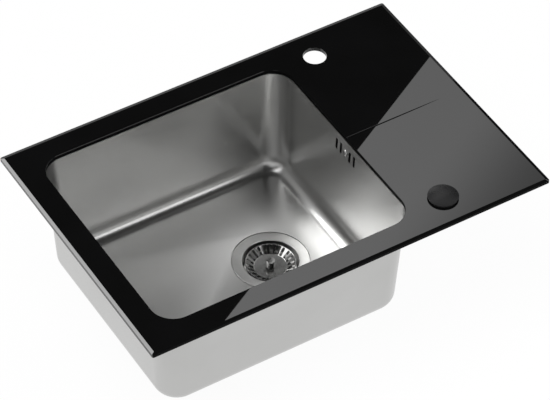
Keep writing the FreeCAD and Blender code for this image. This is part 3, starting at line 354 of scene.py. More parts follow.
# Which CAD nodes wear which finish
NODE_SLOTS = {
    "black_glass": ["glass_deck"],
    "bond_adhesive": ["deck_bond"],
    "seal_foam": ["worktop_seal"],
    "zinc_steel": ["rail_front", "rail_back", "rail_left", "rail_right", "button_washer"],
    "satin_steel": ["bowl"],
    "damping_pad": ["sound_pad"],
    "polished_steel": ["waste_cup", "strainer_basket", "strainer_knob", "overflow_screw"],
    "gasket_rubber": ["waste_top_gasket", "waste_bottom_gasket", "outlet_washer", "shaft_seal",
                      "strainer_seal", "overflow_gasket", "pipe_seal_top", "pipe_seal_bottom",
                      "button_gasket"],
    "fibre_ring": ["waste_friction_ring"],
    "white_plastic": ["waste_locknut", "outlet_body", "pin_guide", "overflow_pipe", "pipe_nut_top",
                      "pipe_nut_bottom"],
    "stem_steel": ["strainer_stem", "strainer_nut", "lift_pin", "lever_shaft", "push_rod"],
    "spring_steel": ["button_spring"],
    "lever_plastic": ["lift_lever", "lever_crank"],
    "button_plastic": ["button_cap"],
    "black_plastic": ["button_housing", "button_nut", "button_plunger", "button_base", "cable_gland",
                      "overflow_elbow"],
    "cable_vinyl": ["cable_sheath"],
}


# Materials

NOISE_LOW, NOISE_HIGH = 0.3, 0.7
NOISE_ROUGHNESS = 0.55


class Finish:
    """A material with its shader and shorthands for the nodes that drive it."""

    def __init__(self, name, **sockets):
        self.material = bpy.data.materials.new(name)
        self.material.use_nodes = True
        self.tree = self.material.node_tree
        self.shader = self.tree.nodes["Principled BSDF"]
        for socket, value in sockets.items():
            self.shader.inputs[socket.replace("_", " ")].default_value = value
        self.place = self.tree.nodes.new("ShaderNodeTexCoord").outputs["Object"]

    def noise(self, scale, detail=3.0):
        """Noise in object coordinates, scale in waves per metre."""
        noise = self.tree.nodes.new("ShaderNodeTexNoise")
        noise.inputs["Scale"].default_value = scale
        noise.inputs["Detail"].default_value = detail
        noise.inputs["Roughness"].default_value = NOISE_ROUGHNESS
        self.tree.links.new(self.place, noise.inputs["Vector"])
        return noise.outputs["Fac"]

    def colours(self, factor, low, high):
        """Colours from low to high over the middle of the noise."""
        node = self.tree.nodes.new("ShaderNodeValToRGB")
        stops = ((NOISE_LOW, low), (NOISE_HIGH, high))
        for element, (place, colour) in zip(node.color_ramp.elements, stops):
            element.position = place
            element.color = (*colour, 1)
        self.tree.links.new(factor, node.inputs["Fac"])
        return node.outputs["Color"]

    def numbers(self, factor, low, high):
        """Numbers from low to high over the middle of the noise."""
        node = self.tree.nodes.new("ShaderNodeMapRange")
        values = {"From Min": NOISE_LOW, "From Max": NOISE_HIGH, "To Min": low, "To Max": high}
        for socket, value in values.items():
            node.inputs[socket].default_value = value
        self.tree.links.new(factor, node.inputs["Value"])
        return node.outputs["Result"]

    def drive(self, socket, output):
        """Let a node's output set one of the shader's sockets."""
        self.tree.links.new(output, self.shader.inputs[socket])

    def bump(self, height, distance, strength):
        """Relief of the given depth in metres, at the given strength."""
        node = self.tree.nodes.new("ShaderNodeBump")
        node.inputs["Distance"].default_value = distance
        node.inputs["Strength"].default_value = strength
        self.tree.links.new(height, node.inputs["Height"])
        self.tree.links.new(node.outputs["Normal"], self.shader.inputs["Normal"])


def grey(value, tint=(1.0, 1.0, 1.0)):
    """Colour of the given linear brightness."""
    return tuple(value * t for t in tint)


def glass_finish():
    """Opaque black glass: polished, with a faint cloudiness in the gloss."""
    finish = Finish("black_glass", Roughness=0.01, IOR=1.5)
    finish.drive("Base Color", finish.colours(finish.noise(9), grey(0.0023), grey(0.0031, (1, 1, 1.04))))
    finish.drive("Roughness", finish.numbers(finish.noise(14), 0.006, 0.014))
    return finish.material


def satin_finish():
    """Drawn steel with a fine even satin grain."""
    finish = Finish("satin_steel", Metallic=1.0, Roughness=0.28, IOR=2.6)
    dark, light = grey(0.47, (1, 1, 0.985)), grey(0.50, (1, 1, 0.99))
    finish.drive("Base Color", finish.colours(finish.noise(7), dark, light))
    finish.drive("Roughness", finish.numbers(finish.noise(45, 4), 0.2755, 0.284))
    return finish.material


def turned_finish(name, value, low, high):
    """Turned or pressed steel of a given brightness, its roughness from low to high in fine marks."""
    finish = Finish(name, Metallic=1.0, Roughness=(low + high) / 2, IOR=2.6)
    warm = (1, 1, 0.985)
    dark, light = grey(value * 0.92, warm), grey(value, warm)
    finish.drive("Base Color", finish.colours(finish.noise(60), dark, light))
    finish.drive("Roughness", finish.numbers(finish.noise(180, 3), low, high))
    return finish.material


def shade_painted_edge_finish():
    """Ground side of the glass: matt black, its gloss nearly taken away as painted shade."""
    finish = Finish("black_glass_shade_painted_edge", Roughness=0.5, Specular_IOR_Level=0.03)
    finish.drive("Base Color", finish.colours(finish.noise(60), grey(0.0016), grey(0.0030)))
    finish.drive("Roughness", finish.numbers(finish.noise(400, 2), 0.42, 0.58))
    return finish.material


def bright_steel_finish(name, value, low, high):
    """Plain steel, such as zinc, turned bar or drawn wire: its brightness, and its roughness from low to
    high."""
    finish = Finish(name, Metallic=1.0, Roughness=(low + high) / 2, IOR=2.6)
    cool = (0.98, 1.0, 1.03)
    dark, light = grey(value * 0.86, cool), grey(value, cool)
    finish.drive("Base Color", finish.colours(finish.noise(120, 4), dark, light))
    finish.drive("Roughness", finish.numbers(finish.noise(240, 4), low, high))
    finish.bump(finish.noise(700, 3), 0.00004, 0.3)
    return finish.material


def moulded_finish(name, colour, low, high, grain=500, depth=0.00006, ior=1.48):
    """Moulded plastic or rubber: slightly uneven colour, roughness from low to high, fine surface grain."""
    finish = Finish(name, Roughness=(low + high) / 2, IOR=ior)
    dark = tuple(0.86 * c for c in colour)
    finish.drive("Base Color", finish.colours(finish.noise(40, 4), dark, colour))
    finish.drive("Roughness", finish.numbers(finish.noise(110, 3), low, high))
    finish.bump(finish.noise(grain, 3), depth, 0.35)
    return finish.material


FINISHES = {
    "black_glass": glass_finish(),
    "satin_steel": satin_finish(),
    "polished_steel": turned_finish("polished_steel", 0.49, 0.278, 0.300),
    "basket_steel": turned_finish("basket_steel", 0.38, 0.07, 0.11),
    # Flat faces of basket and knob: a rougher satin, with a darker colour that is painted shade
    "basket_satin_shade_painted": turned_finish("basket_satin_shade_painted", 0.28, 0.20, 0.25),
    "knob_steel": turned_finish("knob_steel", 0.42, 0.13, 0.17),
    # Ground glass sides, their gloss nearly taken away as painted shade
    "glass_shade_painted_edge": shade_painted_edge_finish(),
    "zinc_steel": bright_steel_finish("zinc_steel", 0.66, 0.28, 0.45),
    "stem_steel": bright_steel_finish("stem_steel", 0.64, 0.18, 0.30),
    "spring_steel": bright_steel_finish("spring_steel", 0.52, 0.22, 0.34),
    "bond_adhesive": moulded_finish("bond_adhesive", grey(0.03), 0.45, 0.65),
    "seal_foam": moulded_finish("seal_foam", grey(0.06, (1, 1, 1.08)), 0.80, 0.95, 900, 0.0003),
    "damping_pad": moulded_finish("damping_pad", grey(0.11, (1, 1, 1.04)), 0.70, 0.90, 350, 0.0003),
    "gasket_rubber": moulded_finish("gasket_rubber", grey(0.025), 0.55, 0.72),
    "fibre_ring": moulded_finish("fibre_ring", (0.70, 0.66, 0.55), 0.65, 0.85, 700, 0.0002),
    "white_plastic": moulded_finish("white_plastic", (0.80, 0.80, 0.78), 0.34, 0.46),
    "lever_plastic": moulded_finish("lever_plastic", grey(0.10, (1, 1, 1.06)), 0.45, 0.60),
    "button_plastic": moulded_finish("button_plastic", grey(0.007, (1, 1, 1.05)), 0.24, 0.30,
                                     grain=300, depth=0.00001, ior=1.25),
    "black_plastic": moulded_finish("black_plastic", grey(0.008, (1, 1, 1.05)), 0.42, 0.58),
    "cable_vinyl": moulded_finish("cable_vinyl", grey(0.04, (1, 1, 1.04)), 0.40, 0.52),
}


# Pieces

def groove_share(x):
    """Share of the groove's full section along it, 1 - g to a power: whole at the bowl's edge, where g is
    0, and shrinking to nothing at its end, where g is 1."""
    gone = np.clip((x - OPENING[1]) / (GROOVE_END - OPENING[1]), 0, 1)
    return 1 - gone ** GROOVE_RUN_OUT


def hole_wall(skin, centre, radius, patch):
    """Round hole through the glass with an arris at both faces; returns its loops on the two faces."""
    heights = ((radius + ARRIS, GLASS_TOP), (radius, GLASS_TOP - ARRIS), (radius, GLASS_BOTTOM + ARRIS),
               (radius + ARRIS, GLASS_BOTTOM))
    rows = [at_height(circle(centre, r, steps=64), z) for r, z in heights]
    for index in range(len(rows) - 1):
        skin.grid(rows[index:index + 2], patch + index)
    return rows[0], rows[-1]


def glass_deck():
    """Bevelled plate. Its edge is a profile (inset, height) carried round the outline, the corner radius
    falling from the rim to the flat; the faces are flat regions with holes; the groove is a grid along x.
    The front and back sides and the opening's sides are ground: matt black, their gloss nearly gone as
    painted shade."""
    rim, bevel, top, opening, tap, button, drainer, bottom = 0, 3, 6, 10, 20, 25, 30, 31
    skin = Skin()
    bevel_start = GLASS_TOP - BEVEL_DEPTH
    slope = BEVEL_DEPTH / BEVEL_WIDTH
    edge = ((ARRIS, GLASS_BOTTOM), (0, GLASS_BOTTOM + ARRIS), (0, bevel_start - ARRIS),
            (ARRIS, bevel_start + ARRIS * slope), (BEVEL_WIDTH, GLASS_TOP))
    rows = []
    for inset, z in edge:
        radius = DECK_CORNER + (BEVEL_CORNER - DECK_CORNER) * min(inset / BEVEL_WIDTH, 1)
        rows.append(at_height(rounded_loop(grown(DECK, -inset), radius, steps=8), z))
    for index in range(len(rows) - 1):
        skin.grid(rows[index:index + 2], rim + index)

    groove_start = OPENING[1] + ARRIS
    stops, drops = (GROOVE_SECTION * groove_share(groove_start)).T
    sides = ((ARRIS, GLASS_TOP, 1), (0, GLASS_TOP - ARRIS, 1), (0, GLASS_BOTTOM + ARRIS, 0),
             (ARRIS, GLASS_BOTTOM, 0))
    walls = []
    for offset, z, grooved in sides:
        loop = rounded_loop(grown(OPENING, offset), OPENING_RADIUS + offset, steps=24, right_stops=stops)
        drop = np.interp(loop[:, 1], stops, drops) * (loop[:, 0] > OPENING[1] - ARRIS) * grooved
        walls.append(at_height(loop, z - drop))
    for index in range(len(walls) - 1):
        skin.grid(walls[index:index + 2], opening + index)

    tap_top, tap_bottom = hole_wall(skin, TAP_HOLE, TAP_HOLE_RADIUS, tap)
    button_top, button_bottom = hole_wall(skin, BUTTON, BUTTON_HOLE_RADIUS, button)

    x = np.linspace(groove_start, GROOVE_END, GROOVE_ROWS)[:, None]
    y, drop = groove_share(x) * GROOVE_SECTION[:, 0], groove_share(x) * GROOVE_SECTION[:, 1]
    groove = np.stack([np.broadcast_to(x, y.shape), y, GLASS_TOP - drop], axis=-1)
    skin.grid(groove, drainer, closed=False)
    outline = np.concatenate([groove[:, 0], groove[-2::-1, -1], walls[0][len(stops):]])
    skin.plane([rows[-1], outline, tap_top, button_top], top)
    skin.plane([rows[0], walls[-1], tap_bottom, button_bottom], bottom)
    piece = skin.done("glass_deck_bevelled")

    def ground(patch, normal):
        """Faces that take the matt black with painted shade: front and back of the rim, the opening's
        sides, and its upper arris at the right.
        """
        front_back = (patch < bevel) & (np.abs(normal[:, 1]) > np.abs(normal[:, 0]))
        to_the_left = normal[:, 0] < -0.5
        arris = (patch == opening) & to_the_left
        return front_back | arris | (patch == opening + 1) | (patch == opening + 2)

    # The picked faces take the matt black whose missing gloss is painted shade
    second_finish(piece, ground)
    return piece


def wall_inset(z):
    """How far the drafted wall has come inwards at a height."""
    return (FLANGE_TOP - z) * math.tan(DRAFT)


def bowl_section(wall):
    """Rows (inset, height) of the bowl's side from the flange down to the flat floor, grown by wall:
    a straight drafted side, then a foot arc that is tangent to the side and to the floor, with a guard row
    beyond each end of the arc to keep side and floor flat in the shading."""
    floor = FLOOR - wall
    radius = FOOT_RADIUS + wall
    centre_inset = radius / math.cos(DRAFT) + wall_inset(floor + radius) - wall
    foot = arc((centre_inset, floor + radius), radius, math.pi + DRAFT, 1.5 * math.pi, steps=14)
    top = FLANGE_TOP if wall == 0 else FLANGE_TOP - SHEET
    heights = [top, WALL_BAND[0], WALL_BAND[1], foot[0, 1] + FOOT_GUARD]
    side = [(wall_inset(z) - wall, z) for z in heights]
    guard = [(centre_inset + FOOT_GUARD, floor)]
    return np.concatenate([side, foot, guard])


def bowl_loop(inset, z, wall):
    """Outline of the bowl at one row: the corner radius stays the same down the side and shrinks round the
    foot."""
    radius = OPENING_RADIUS + wall - (inset + wall - wall_inset(z))
    return at_height(rounded_loop(grown(OPENING, -inset), radius, BOWL_CORNER_STEPS), z)


def overflow_slots(wall):
    """Rounded upright slots in the right wall, as loops on the wall's inner or outer face."""
    loops = []
    for offset in SLOT_OFFSETS:
        sides = (offset - SLOT_WIDTH / 2, offset + SLOT_WIDTH / 2, -SLOT_HEIGHT / 2, SLOT_HEIGHT / 2)
        loop = rounded_loop(sides, SLOT_CORNER, steps=5)
        z = OVERFLOW_Z + loop[:, 1]
        loops.append(np.column_stack([OPENING[1] + wall - wall_inset(z), loop[:, 0], z]))
    return loops


def bowl():
    """Drawn bowl as one closed shell: its section is carried round the opening inside and, one sheet
    further out, outside; flat floors run to the turned waste recess; the right wall is pierced by the
    overflow slots."""
    inside, outside, ledge, hole, under, boss, slot, brim = 0, 1, 4, 5, 6, 7, 10, 20
    skin = Skin()
    faces = []
    for patch, wall in ((inside, 0.0), (outside, SHEET)):
        rows = np.array([bowl_loop(inset, z, wall) for inset, z in bowl_section(wall)])
        last = rows.shape[1] - 1
        keep = np.ones((len(rows) - 1, last + 1), bool)
        keep[1, last] = False
        skin.grid(rows, patch, keep=keep)
        panel = np.array([rows[1, last], rows[1, 0], rows[2, 0], rows[2, last]])
        slots = overflow_slots(wall)
        skin.plane([loop[:, [1, 2, 0]] for loop in (panel, *slots)], patch)
        skin.points[-1] = skin.points[-1][:, [2, 0, 1]]
        faces.append((rows, slots))
    (inner_rows, inner_slots), (outer_rows, outer_slots) = faces
    for index, (near, far) in enumerate(zip(inner_slots, outer_slots)):
        skin.grid([near, far], slot + index)

    segments = 120
    edge_centre = (RECESS_RADIUS + RECESS_EDGE, FLOOR - RECESS_EDGE)
    top_edge = arc(edge_centre, RECESS_EDGE, math.pi / 2, math.pi, steps=5)
    low = FLOOR - RECESS_DEPTH
    back = RECESS_RADIUS + SHEET
    lathe(skin, np.concatenate([top_edge, [(RECESS_RADIUS, low)]]), WASTE, segments, inside)
    turned = ((RECESS_RADIUS, low), (WASTE_HOLE_RADIUS, low), (WASTE_HOLE_RADIUS, low - SHEET),
              (back, low - SHEET), (back, FLOOR - SHEET))
    for index, patch in enumerate((ledge, hole, under, boss)):
        lathe(skin, turned[index:index + 2], WASTE, segments, patch)
    mouth = at_height(circle(WASTE, top_edge[0, 0], segments), FLOOR)
    skin.plane([inner_rows[-1], mouth], inside)
    foot = at_height(circle(WASTE, back, segments), FLOOR - SHEET)
    skin.plane([outer_rows[-1], foot], outside)

    flange = ((0.0, FLANGE_TOP), (FLANGE_WIDTH, FLANGE_TOP), (FLANGE_WIDTH, FLANGE_TOP - SHEET))
    loops = [at_height(rounded_loop(grown(OPENING, out), OPENING_RADIUS + out, BOWL_CORNER_STEPS), z)
             for out, z in flange]
    loops.append(outer_rows[0])
    for index in range(len(loops) - 1):
        skin.grid(loops[index:index + 2], brim + index)
    return skin.done("bowl_drawn")


def waste_cup():
    """Turned waste: flange with a rounded edge, rolled lip into the cup, threaded neck below."""
    flange_low, cup_low, cup_wall = FLOOR - CUP_FLANGE, CUP_FLOOR - CUP_WALL, THROAT_RADIUS + CUP_WALL
    seam = (CUP_RADIUS - CUP_FLANGE_FLAT, flange_low)
    rounded = (
        ((CUP_RADIUS, flange_low), 0.3), ((CUP_RADIUS, FLOOR), 0.3),
        ((THROAT_RADIUS + THROAT_LIP, FLOOR), 0.6), ((THROAT_RADIUS, FLOOR - THROAT_LIP), 0.6),
        ((THROAT_RADIUS, CUP_FLOOR), 3.0), ((NECK_BORE, CUP_FLOOR), 0.8),
        ((NECK_BORE, CUP_LOW[2]), 0.6), ((NECK_RADIUS, CUP_LOW[2]), 0.6),
        ((NECK_RADIUS, cup_low), 0.5), ((cup_wall, cup_low), 3.0), ((cup_wall, flange_low), 0.4))
    points, radii = zip(*rounded)
    skin = Skin()
    lathe(skin, rounded_profile((seam, *points, seam), radii), WASTE, segments=128)
    return skin.done("waste_cup_turned")


def strainer_basket():
    """Pressed basket: a profile turned about the waste, its columns in each of the equal sectors following
    the slot's edges, so that the slot's cells can be left out; the sheet's thickness is added below."""
    rim = BASKET_HIGH[2]
    cone = BASKET_RADIUS - BASKET_RIM_WIDTH
    outline = ((SPINDLE_HOLE, BASKET_FLOOR), (BASKET_FLOOR_RADIUS, BASKET_FLOOR), (cone, rim),
               (BASKET_RADIUS, rim))
    profile = rounded_profile(outline, (BASKET_FLOOR_ROUNDING, BASKET_RIM_ROUNDING), steps=4)

    start, end = BASKET_FLOOR_RADIUS + BASKET_SLOT_SETBACK, cone - BASKET_SLOT_SETBACK
    inset, narrowing = BASKET_SLOT_END.T
    in_slot = np.concatenate([start + inset, [(start + end) / 2], end - inset[::-1]])
    narrow = np.concatenate([narrowing, [0.0], narrowing[::-1]])
    clear = np.abs(profile[:, :1] - in_slot).min(axis=1) > BASKET_ROW_GAP
    radii = np.union1d(profile[clear, 0], in_slot)
    heights = np.interp(radii, profile[:, 0], profile[:, 1])

    sector = 2 * math.pi / BASKET_SLOTS
    width = BASKET_SLOT_WIDTH / 2 - np.interp(radii, in_slot, narrow)
    half = np.minimum(np.arcsin(np.clip(width / radii, 0, 1)), BASKET_SLOT_SHARE * sector)[:, None]
    columns = np.concatenate([half + BASKET_RIB_COLUMNS * (sector - 2 * half), sector - half], axis=1)
    first = np.arange(BASKET_SLOTS)[:, None] * sector + sector / 2
    angle = (first[None] + columns[:, None, :]).reshape(len(radii), -1)
    rows = np.stack([WASTE[0] + radii[:, None] * np.cos(angle), WASTE[1] + radii[:, None] * np.sin(angle),
                     np.broadcast_to(heights[:, None], angle.shape)], axis=-1)
    tiny = 1e-6
    slot_rows = (radii[:-1] >= start - tiny) & (radii[1:] <= end + tiny)
    slot_columns = np.arange(angle.shape[1]) % columns.shape[1] == columns.shape[1] - 1
    skin = Skin()
    skin.grid(rows, 0, keep=~(slot_rows[:, None] & slot_columns[None, :]))
    piece = skin.done("strainer_basket_pressed")
    if piece.data.polygons[0].normal.z < 0:
        piece.data.flip_normals()
    # Flat, upward faces take the rougher satin, its darker colour painted shade
    second_finish(piece, lambda patch, normal: normal[:, 2] > FLAT)
    sheet = piece.modifiers.new("sheet", "SOLIDIFY")
    sheet.thickness = BASKET_SHEET * MM
    sheet.offset = -1.0
    edge = piece.modifiers.new("edge", "BEVEL")
    edge.width = BASKET_EDGE * MM
    edge.segments = 2
    edge.limit_method = "ANGLE"
    edge.angle_limit = math.radians(50)
    edge.harden_normals = True
    edge.use_clamp_overlap = False
    return piece


def strainer_knob():
    """Turned finger knob: nearly straight side, rounded edge, flat top, blind hole for the spindle."""
    low, top = KNOB_LOW[2], KNOB_HIGH[2]
    outline = ((SPINDLE_HOLE, low), (KNOB_RADIUS - KNOB_TAPER, low), (KNOB_RADIUS, top - 2 * KNOB_EDGE),
               (KNOB_RADIUS, top), (0.0, top))
    skin = Skin()
    lathe(skin, rounded_profile(outline, (0.0, KNOB_SHOULDER, KNOB_EDGE)), WASTE, segments=64)
    hollow = top - KNOB_ROOF
    inside = ((0.0, hollow), (SPINDLE_HOLE, hollow), (SPINDLE_HOLE, low))
    lathe(skin, inside, WASTE, segments=64, patch=1)
    piece = skin.done("strainer_knob_turned")
    # The flat top takes the rougher satin, its darker colour painted shade
    second_finish(piece, lambda patch, normal: normal[:, 2] > FLAT)
    return piece


def overflow_screw():
    """Slotted pan-head screw, its axis square to the drafted wall. The head is a grid over a disc: v runs
    across the slot, u along it within the disc, and the height is a dome, or the slot's floor between its
    edges. Below, rings run from the head's rim to the shank and its tip."""
    dome, floor, edge, below = 0, 2, 3, 20
    across = np.linspace(SCREW_SLOT_HALF, SCREW_RADIUS, 11)
    count = len(across)
    v = np.concatenate([-across[::-1], [-SCREW_SLOT_HALF, SCREW_SLOT_HALF], across])[:, None]
    u = np.linspace(-1, 1, 21)
    along = np.sqrt(np.clip(SCREW_RADIUS ** 2 - v ** 2, 0, None)) * u
    radial = np.hypot(along, v) / SCREW_RADIUS
    dome_share = np.sqrt(np.clip(1 - radial ** SCREW_DOME_POWER, 0, None))
    height = SCREW_RIM + (SCREW_HEIGHT - SCREW_RIM) * dome_share
    slot = slice(count, count + 2)
    height[slot] = np.minimum(height[slot], SCREW_HEIGHT - SCREW_SLOT_DEPTH)
    points = np.stack([along, np.broadcast_to(v, along.shape), height], axis=-1)
    skin = Skin()
    skin.grid(points[:count], dome, closed=False)
    skin.grid(points[slot], floor, closed=False)
    skin.grid(points[count + 2:], dome, closed=False)
    for first in (count - 1, count + 1):
        skin.grid(points[first:first + 2], edge + first, closed=False)
    rim = np.concatenate([points[:, -1], points[::-1, 0]])
    foot = rim * (1, 1, 0)
    neck = foot * (SCREW_SHANK / SCREW_RADIUS)
    tip = neck - (0, 0, SCREW_LENGTH)
    for index, rings in enumerate(((rim, foot), (foot, neck), (neck, tip), (tip, tip * (0, 0, 1)))):
        skin.grid(rings, below + index)

    local = np.concatenate(skin.points)
    upright = np.array((math.sin(DRAFT), 0.0, math.cos(DRAFT)))
    side = np.array((0.0, 1.0, 0.0))
    normal = np.array((-math.cos(DRAFT), 0.0, math.sin(DRAFT)))
    place = np.array((OPENING[1] - wall_inset(OVERFLOW_Z), 0.0, OVERFLOW_Z))
    skin.points = [place + local[:, :1] * upright + local[:, 1:2] * side + local[:, 2:] * normal]
    return skin.done("overflow_screw_slotted")


def button_cap():
    """Push button: low spherical dome with a rounded edge, thin skirt, and the stem in its housing."""
    top, low = CAP_HIGH[2], CAP_LOW[2]
    dome_radius = (CAP_RADIUS ** 2 + CAP_DOME ** 2) / (2 * CAP_DOME)
    r = np.linspace(0, CAP_RADIUS - CAP_ROUNDING - CAP_DOME_MARGIN, 12)
    dome = np.column_stack([r, top - dome_radius + np.sqrt(dome_radius ** 2 - r ** 2)])
    inside = CAP_RADIUS - CAP_SKIRT
    rounded = (
        ((CAP_RADIUS, top - CAP_DOME), CAP_ROUNDING), ((CAP_RADIUS, CAP_BOTTOM), 0.1),
        ((inside, CAP_BOTTOM), 0.1), ((inside, CAP_INSIDE), 0.2), ((CAP_STEM, CAP_INSIDE), 0.2),
        ((CAP_STEM, low), 0.4))
    points, radii = zip(*rounded)
    lower = rounded_profile((tuple(dome[-1]), *points, (0.0, low)), radii)
    skin = Skin()
    lathe(skin, np.concatenate([dome, lower[1:]]), BUTTON, segments=96)
    return skin.done("button_cap_domed")


def button_spring():
    """Return spring: a circle of the wire's radius carried along a helix, (x, y) = centre + coil (cos a,
    sin a), z rising evenly with a; both ends close to a point. Also returns the helix's two heights."""
    low, high = SPRING_LOW[2] + SPRING_WIRE, SPRING_HIGH[2] - SPRING_WIRE
    share = np.linspace(0, 1, SPRING_TURNS * SPRING_STEPS + 1)[:, None]
    turn = 2 * math.pi * SPRING_TURNS * share
    around = np.linspace(0, 2 * math.pi, 12, endpoint=False)[None, :]
    radius = SPRING_COIL + SPRING_WIRE * np.cos(around)
    rows = np.stack([BUTTON[0] + radius * np.cos(turn), BUTTON[1] + radius * np.sin(turn),
                     low + (high - low) * share + SPRING_WIRE * np.sin(around)], axis=-1)
    skin = Skin()
    skin.grid(rows, 0)
    for end, patch in ((0, 1), (-1, 2)):
        tip = np.broadcast_to(rows[end].mean(axis=0), rows[end].shape)
        skin.grid([rows[end], tip], patch)
    return skin.done("button_spring_wound"), low, high


fit(glass_deck(), "sink", "glass_deck", "black_glass", "glass_shade_painted_edge")
fit(bowl(), "sink", "bowl", "satin_steel")
fit(waste_cup(), "sink", "waste_cup", "polished_steel")
fit(strainer_basket(), "strainer", "strainer_basket", "basket_steel", "basket_satin_shade_painted")
fit(strainer_knob(), "strainer", "strainer_knob", "knob_steel", "basket_satin_shade_painted")
fit(overflow_screw(), "sink", "overflow_screw", "polished_steel")
fit(button_cap(), "button", "button_cap", "button_plastic")

spring, spring_foot, spring_head = button_spring()
spring.data.materials.append(FINISHES["spring_steel"])
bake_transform(spring)
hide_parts("button_spring")

for slot_name, nodes in NODE_SLOTS.items():
    for node in nodes:
        for holder in frame["nodes"][node].material_slots:
            holder.material = FINISHES[slot_name]


# Studio, in metres

GROUND_HALF = 14.0
GROUND_GAP = 0.001
GROUND_SHADOW = 0.05
SKY_LIGHT = 1.0
SKY_DIFFUSE_LIGHT = 0.55
DIM = 0.1
FALL_START, FALL_END = 0.36, 0.95

# Softbox: a point on its straight edge, the edge's way, the way across it, and its sizes along these
EDGE_POINT = np.array((0.259, 0.566, 1.0))
EDGE_WAY = np.array((0.872, 0.490, 0.0))
ACROSS_WAY = np.array((0.490, -0.872, 0.0))
SOFTBOX_BEFORE, SOFTBOX_LENGTH, SOFTBOX_WIDTH = 0.066, 0.93, 0.376
SOFTBOX_NEAR, SOFTBOX_FAR, SOFTBOX_FALL = 2.68, 1.96, 0.42

# Level cards: name, corner in plan, sides along x and y, height, strength
CARDS = (
    ("left_card", (-4.2, 0.0), (3.5, 4.9), 3.0, 2.8),
    ("left_core", (-2.1, 2.1), (1.4, 1.4), 2.99, 10.0),
    ("middle_back", (-0.7, 1.4), (0.7, 2.1), 3.0, 2.7),
    ("left_strip", (-0.38, 1.75), (0.15, 1.2), 2.99, 8.6),
    ("back_card", (-0.7, 3.5), (3.5, 1.4), 3.0, 3.0),
    ("back_core", (0.7, 3.5), (1.4, 0.7), 2.99, 4.3),
    ("right_front", (0.7, 0.7), (2.1, 0.7), 3.0, 2.2),
    ("front_card", (0.7, -3.5), (2.1, 1.4), 3.0, 2.9),
    ("right_card", (4.2, -4.2), (0.7, 3.5), 3.0, 4.1),
    ("front_left", (-4.2, -4.2), (2.8, 2.8), 3.0, 0.9),
    ("edge_strip", (1.69, 1.259), (0.12, 0.39), 1.0, 0.38),
    ("dark_ceiling", (-5.0, -5.0), (11.0, 9.8), 3.2, 0.02),
)

# Lamps: name, place, size, power
LAMPS = (
    ("key", (-1.2, -0.4, 2.6), 1.6, 60),
    ("fill", (1.4, -1.6, 2.0), 1.6, 30),
)

# Camera solved from the deck's outline and holes in a frame of 550 by 400 pixels
CAMERA_AZIMUTH, CAMERA_ELEVATION, CAMERA_ROLL = -31.946, 45.476, 0.808
CAMERA_TARGET = Vector((-0.03159, -0.05407, 0.008))
CAMERA_DISTANCE = 4.2792
FOCAL_PIXELS, FRAME_PIXELS = 3036.6, 550


def backdrop_finish(name, shadow):
    """White for camera, mirror and glass rays, with a share of real shading that keeps the shadow."""
    material = bpy.data.materials.new(name)
    material.use_nodes = True
    tree = material.node_tree
    shader = tree.nodes["Principled BSDF"]
    shader.inputs["Base Color"].default_value = (0.86, 0.86, 0.86, 1)
    shader.inputs["Roughness"].default_value = 0.9
    glow = tree.nodes.new("ShaderNodeEmission")
    glow.inputs["Color"].default_value = (1, 1, 1, 1)
    glow.inputs["Strength"].default_value = 1.0
    path = tree.nodes.new("ShaderNodeLightPath")
    seen = tree.nodes.new("ShaderNodeMath")
    seen.operation = "MAXIMUM"
    both = tree.nodes.new("ShaderNodeMath")
    both.operation = "MAXIMUM"
    share = tree.nodes.new("ShaderNodeMath")
    share.operation = "MULTIPLY"
    share.inputs[1].default_value = 1 - shadow
    mix = tree.nodes.new("ShaderNodeMixShader")
    tree.links.new(path.outputs["Is Camera Ray"], seen.inputs[0])
    tree.links.new(path.outputs["Is Glossy Ray"], seen.inputs[1])
    tree.links.new(seen.outputs[0], both.inputs[0])
    tree.links.new(path.outputs["Is Transmission Ray"], both.inputs[1])
    tree.links.new(both.outputs[0], share.inputs[0])
    tree.links.new(share.outputs[0], mix.inputs["Fac"])
    tree.links.new(shader.outputs[0], mix.inputs[1])
    tree.links.new(glow.outputs[0], mix.inputs[2])
    tree.links.new(mix.outputs[0], tree.nodes["Material Output"].inputs["Surface"])
    return material


def floor():
    """Pale floor just under the outlet."""
    half, z = GROUND_HALF, cad_low[2] - GROUND_GAP
    mesh = bpy.data.meshes.new("floor")
    points = [(-half, -half, z), (half, -half, z), (half, half, z), (-half, half, z)]
    mesh.from_pydata(points, [], [(0, 1, 2, 3)])
    mesh.materials.append(backdrop_finish("floor_white", GROUND_SHADOW))
    mesh.materials[0].cycles.emission_sampling = "NONE"
    ground = bpy.data.objects.new("floor", mesh)
    bpy.context.scene.collection.objects.link(ground)


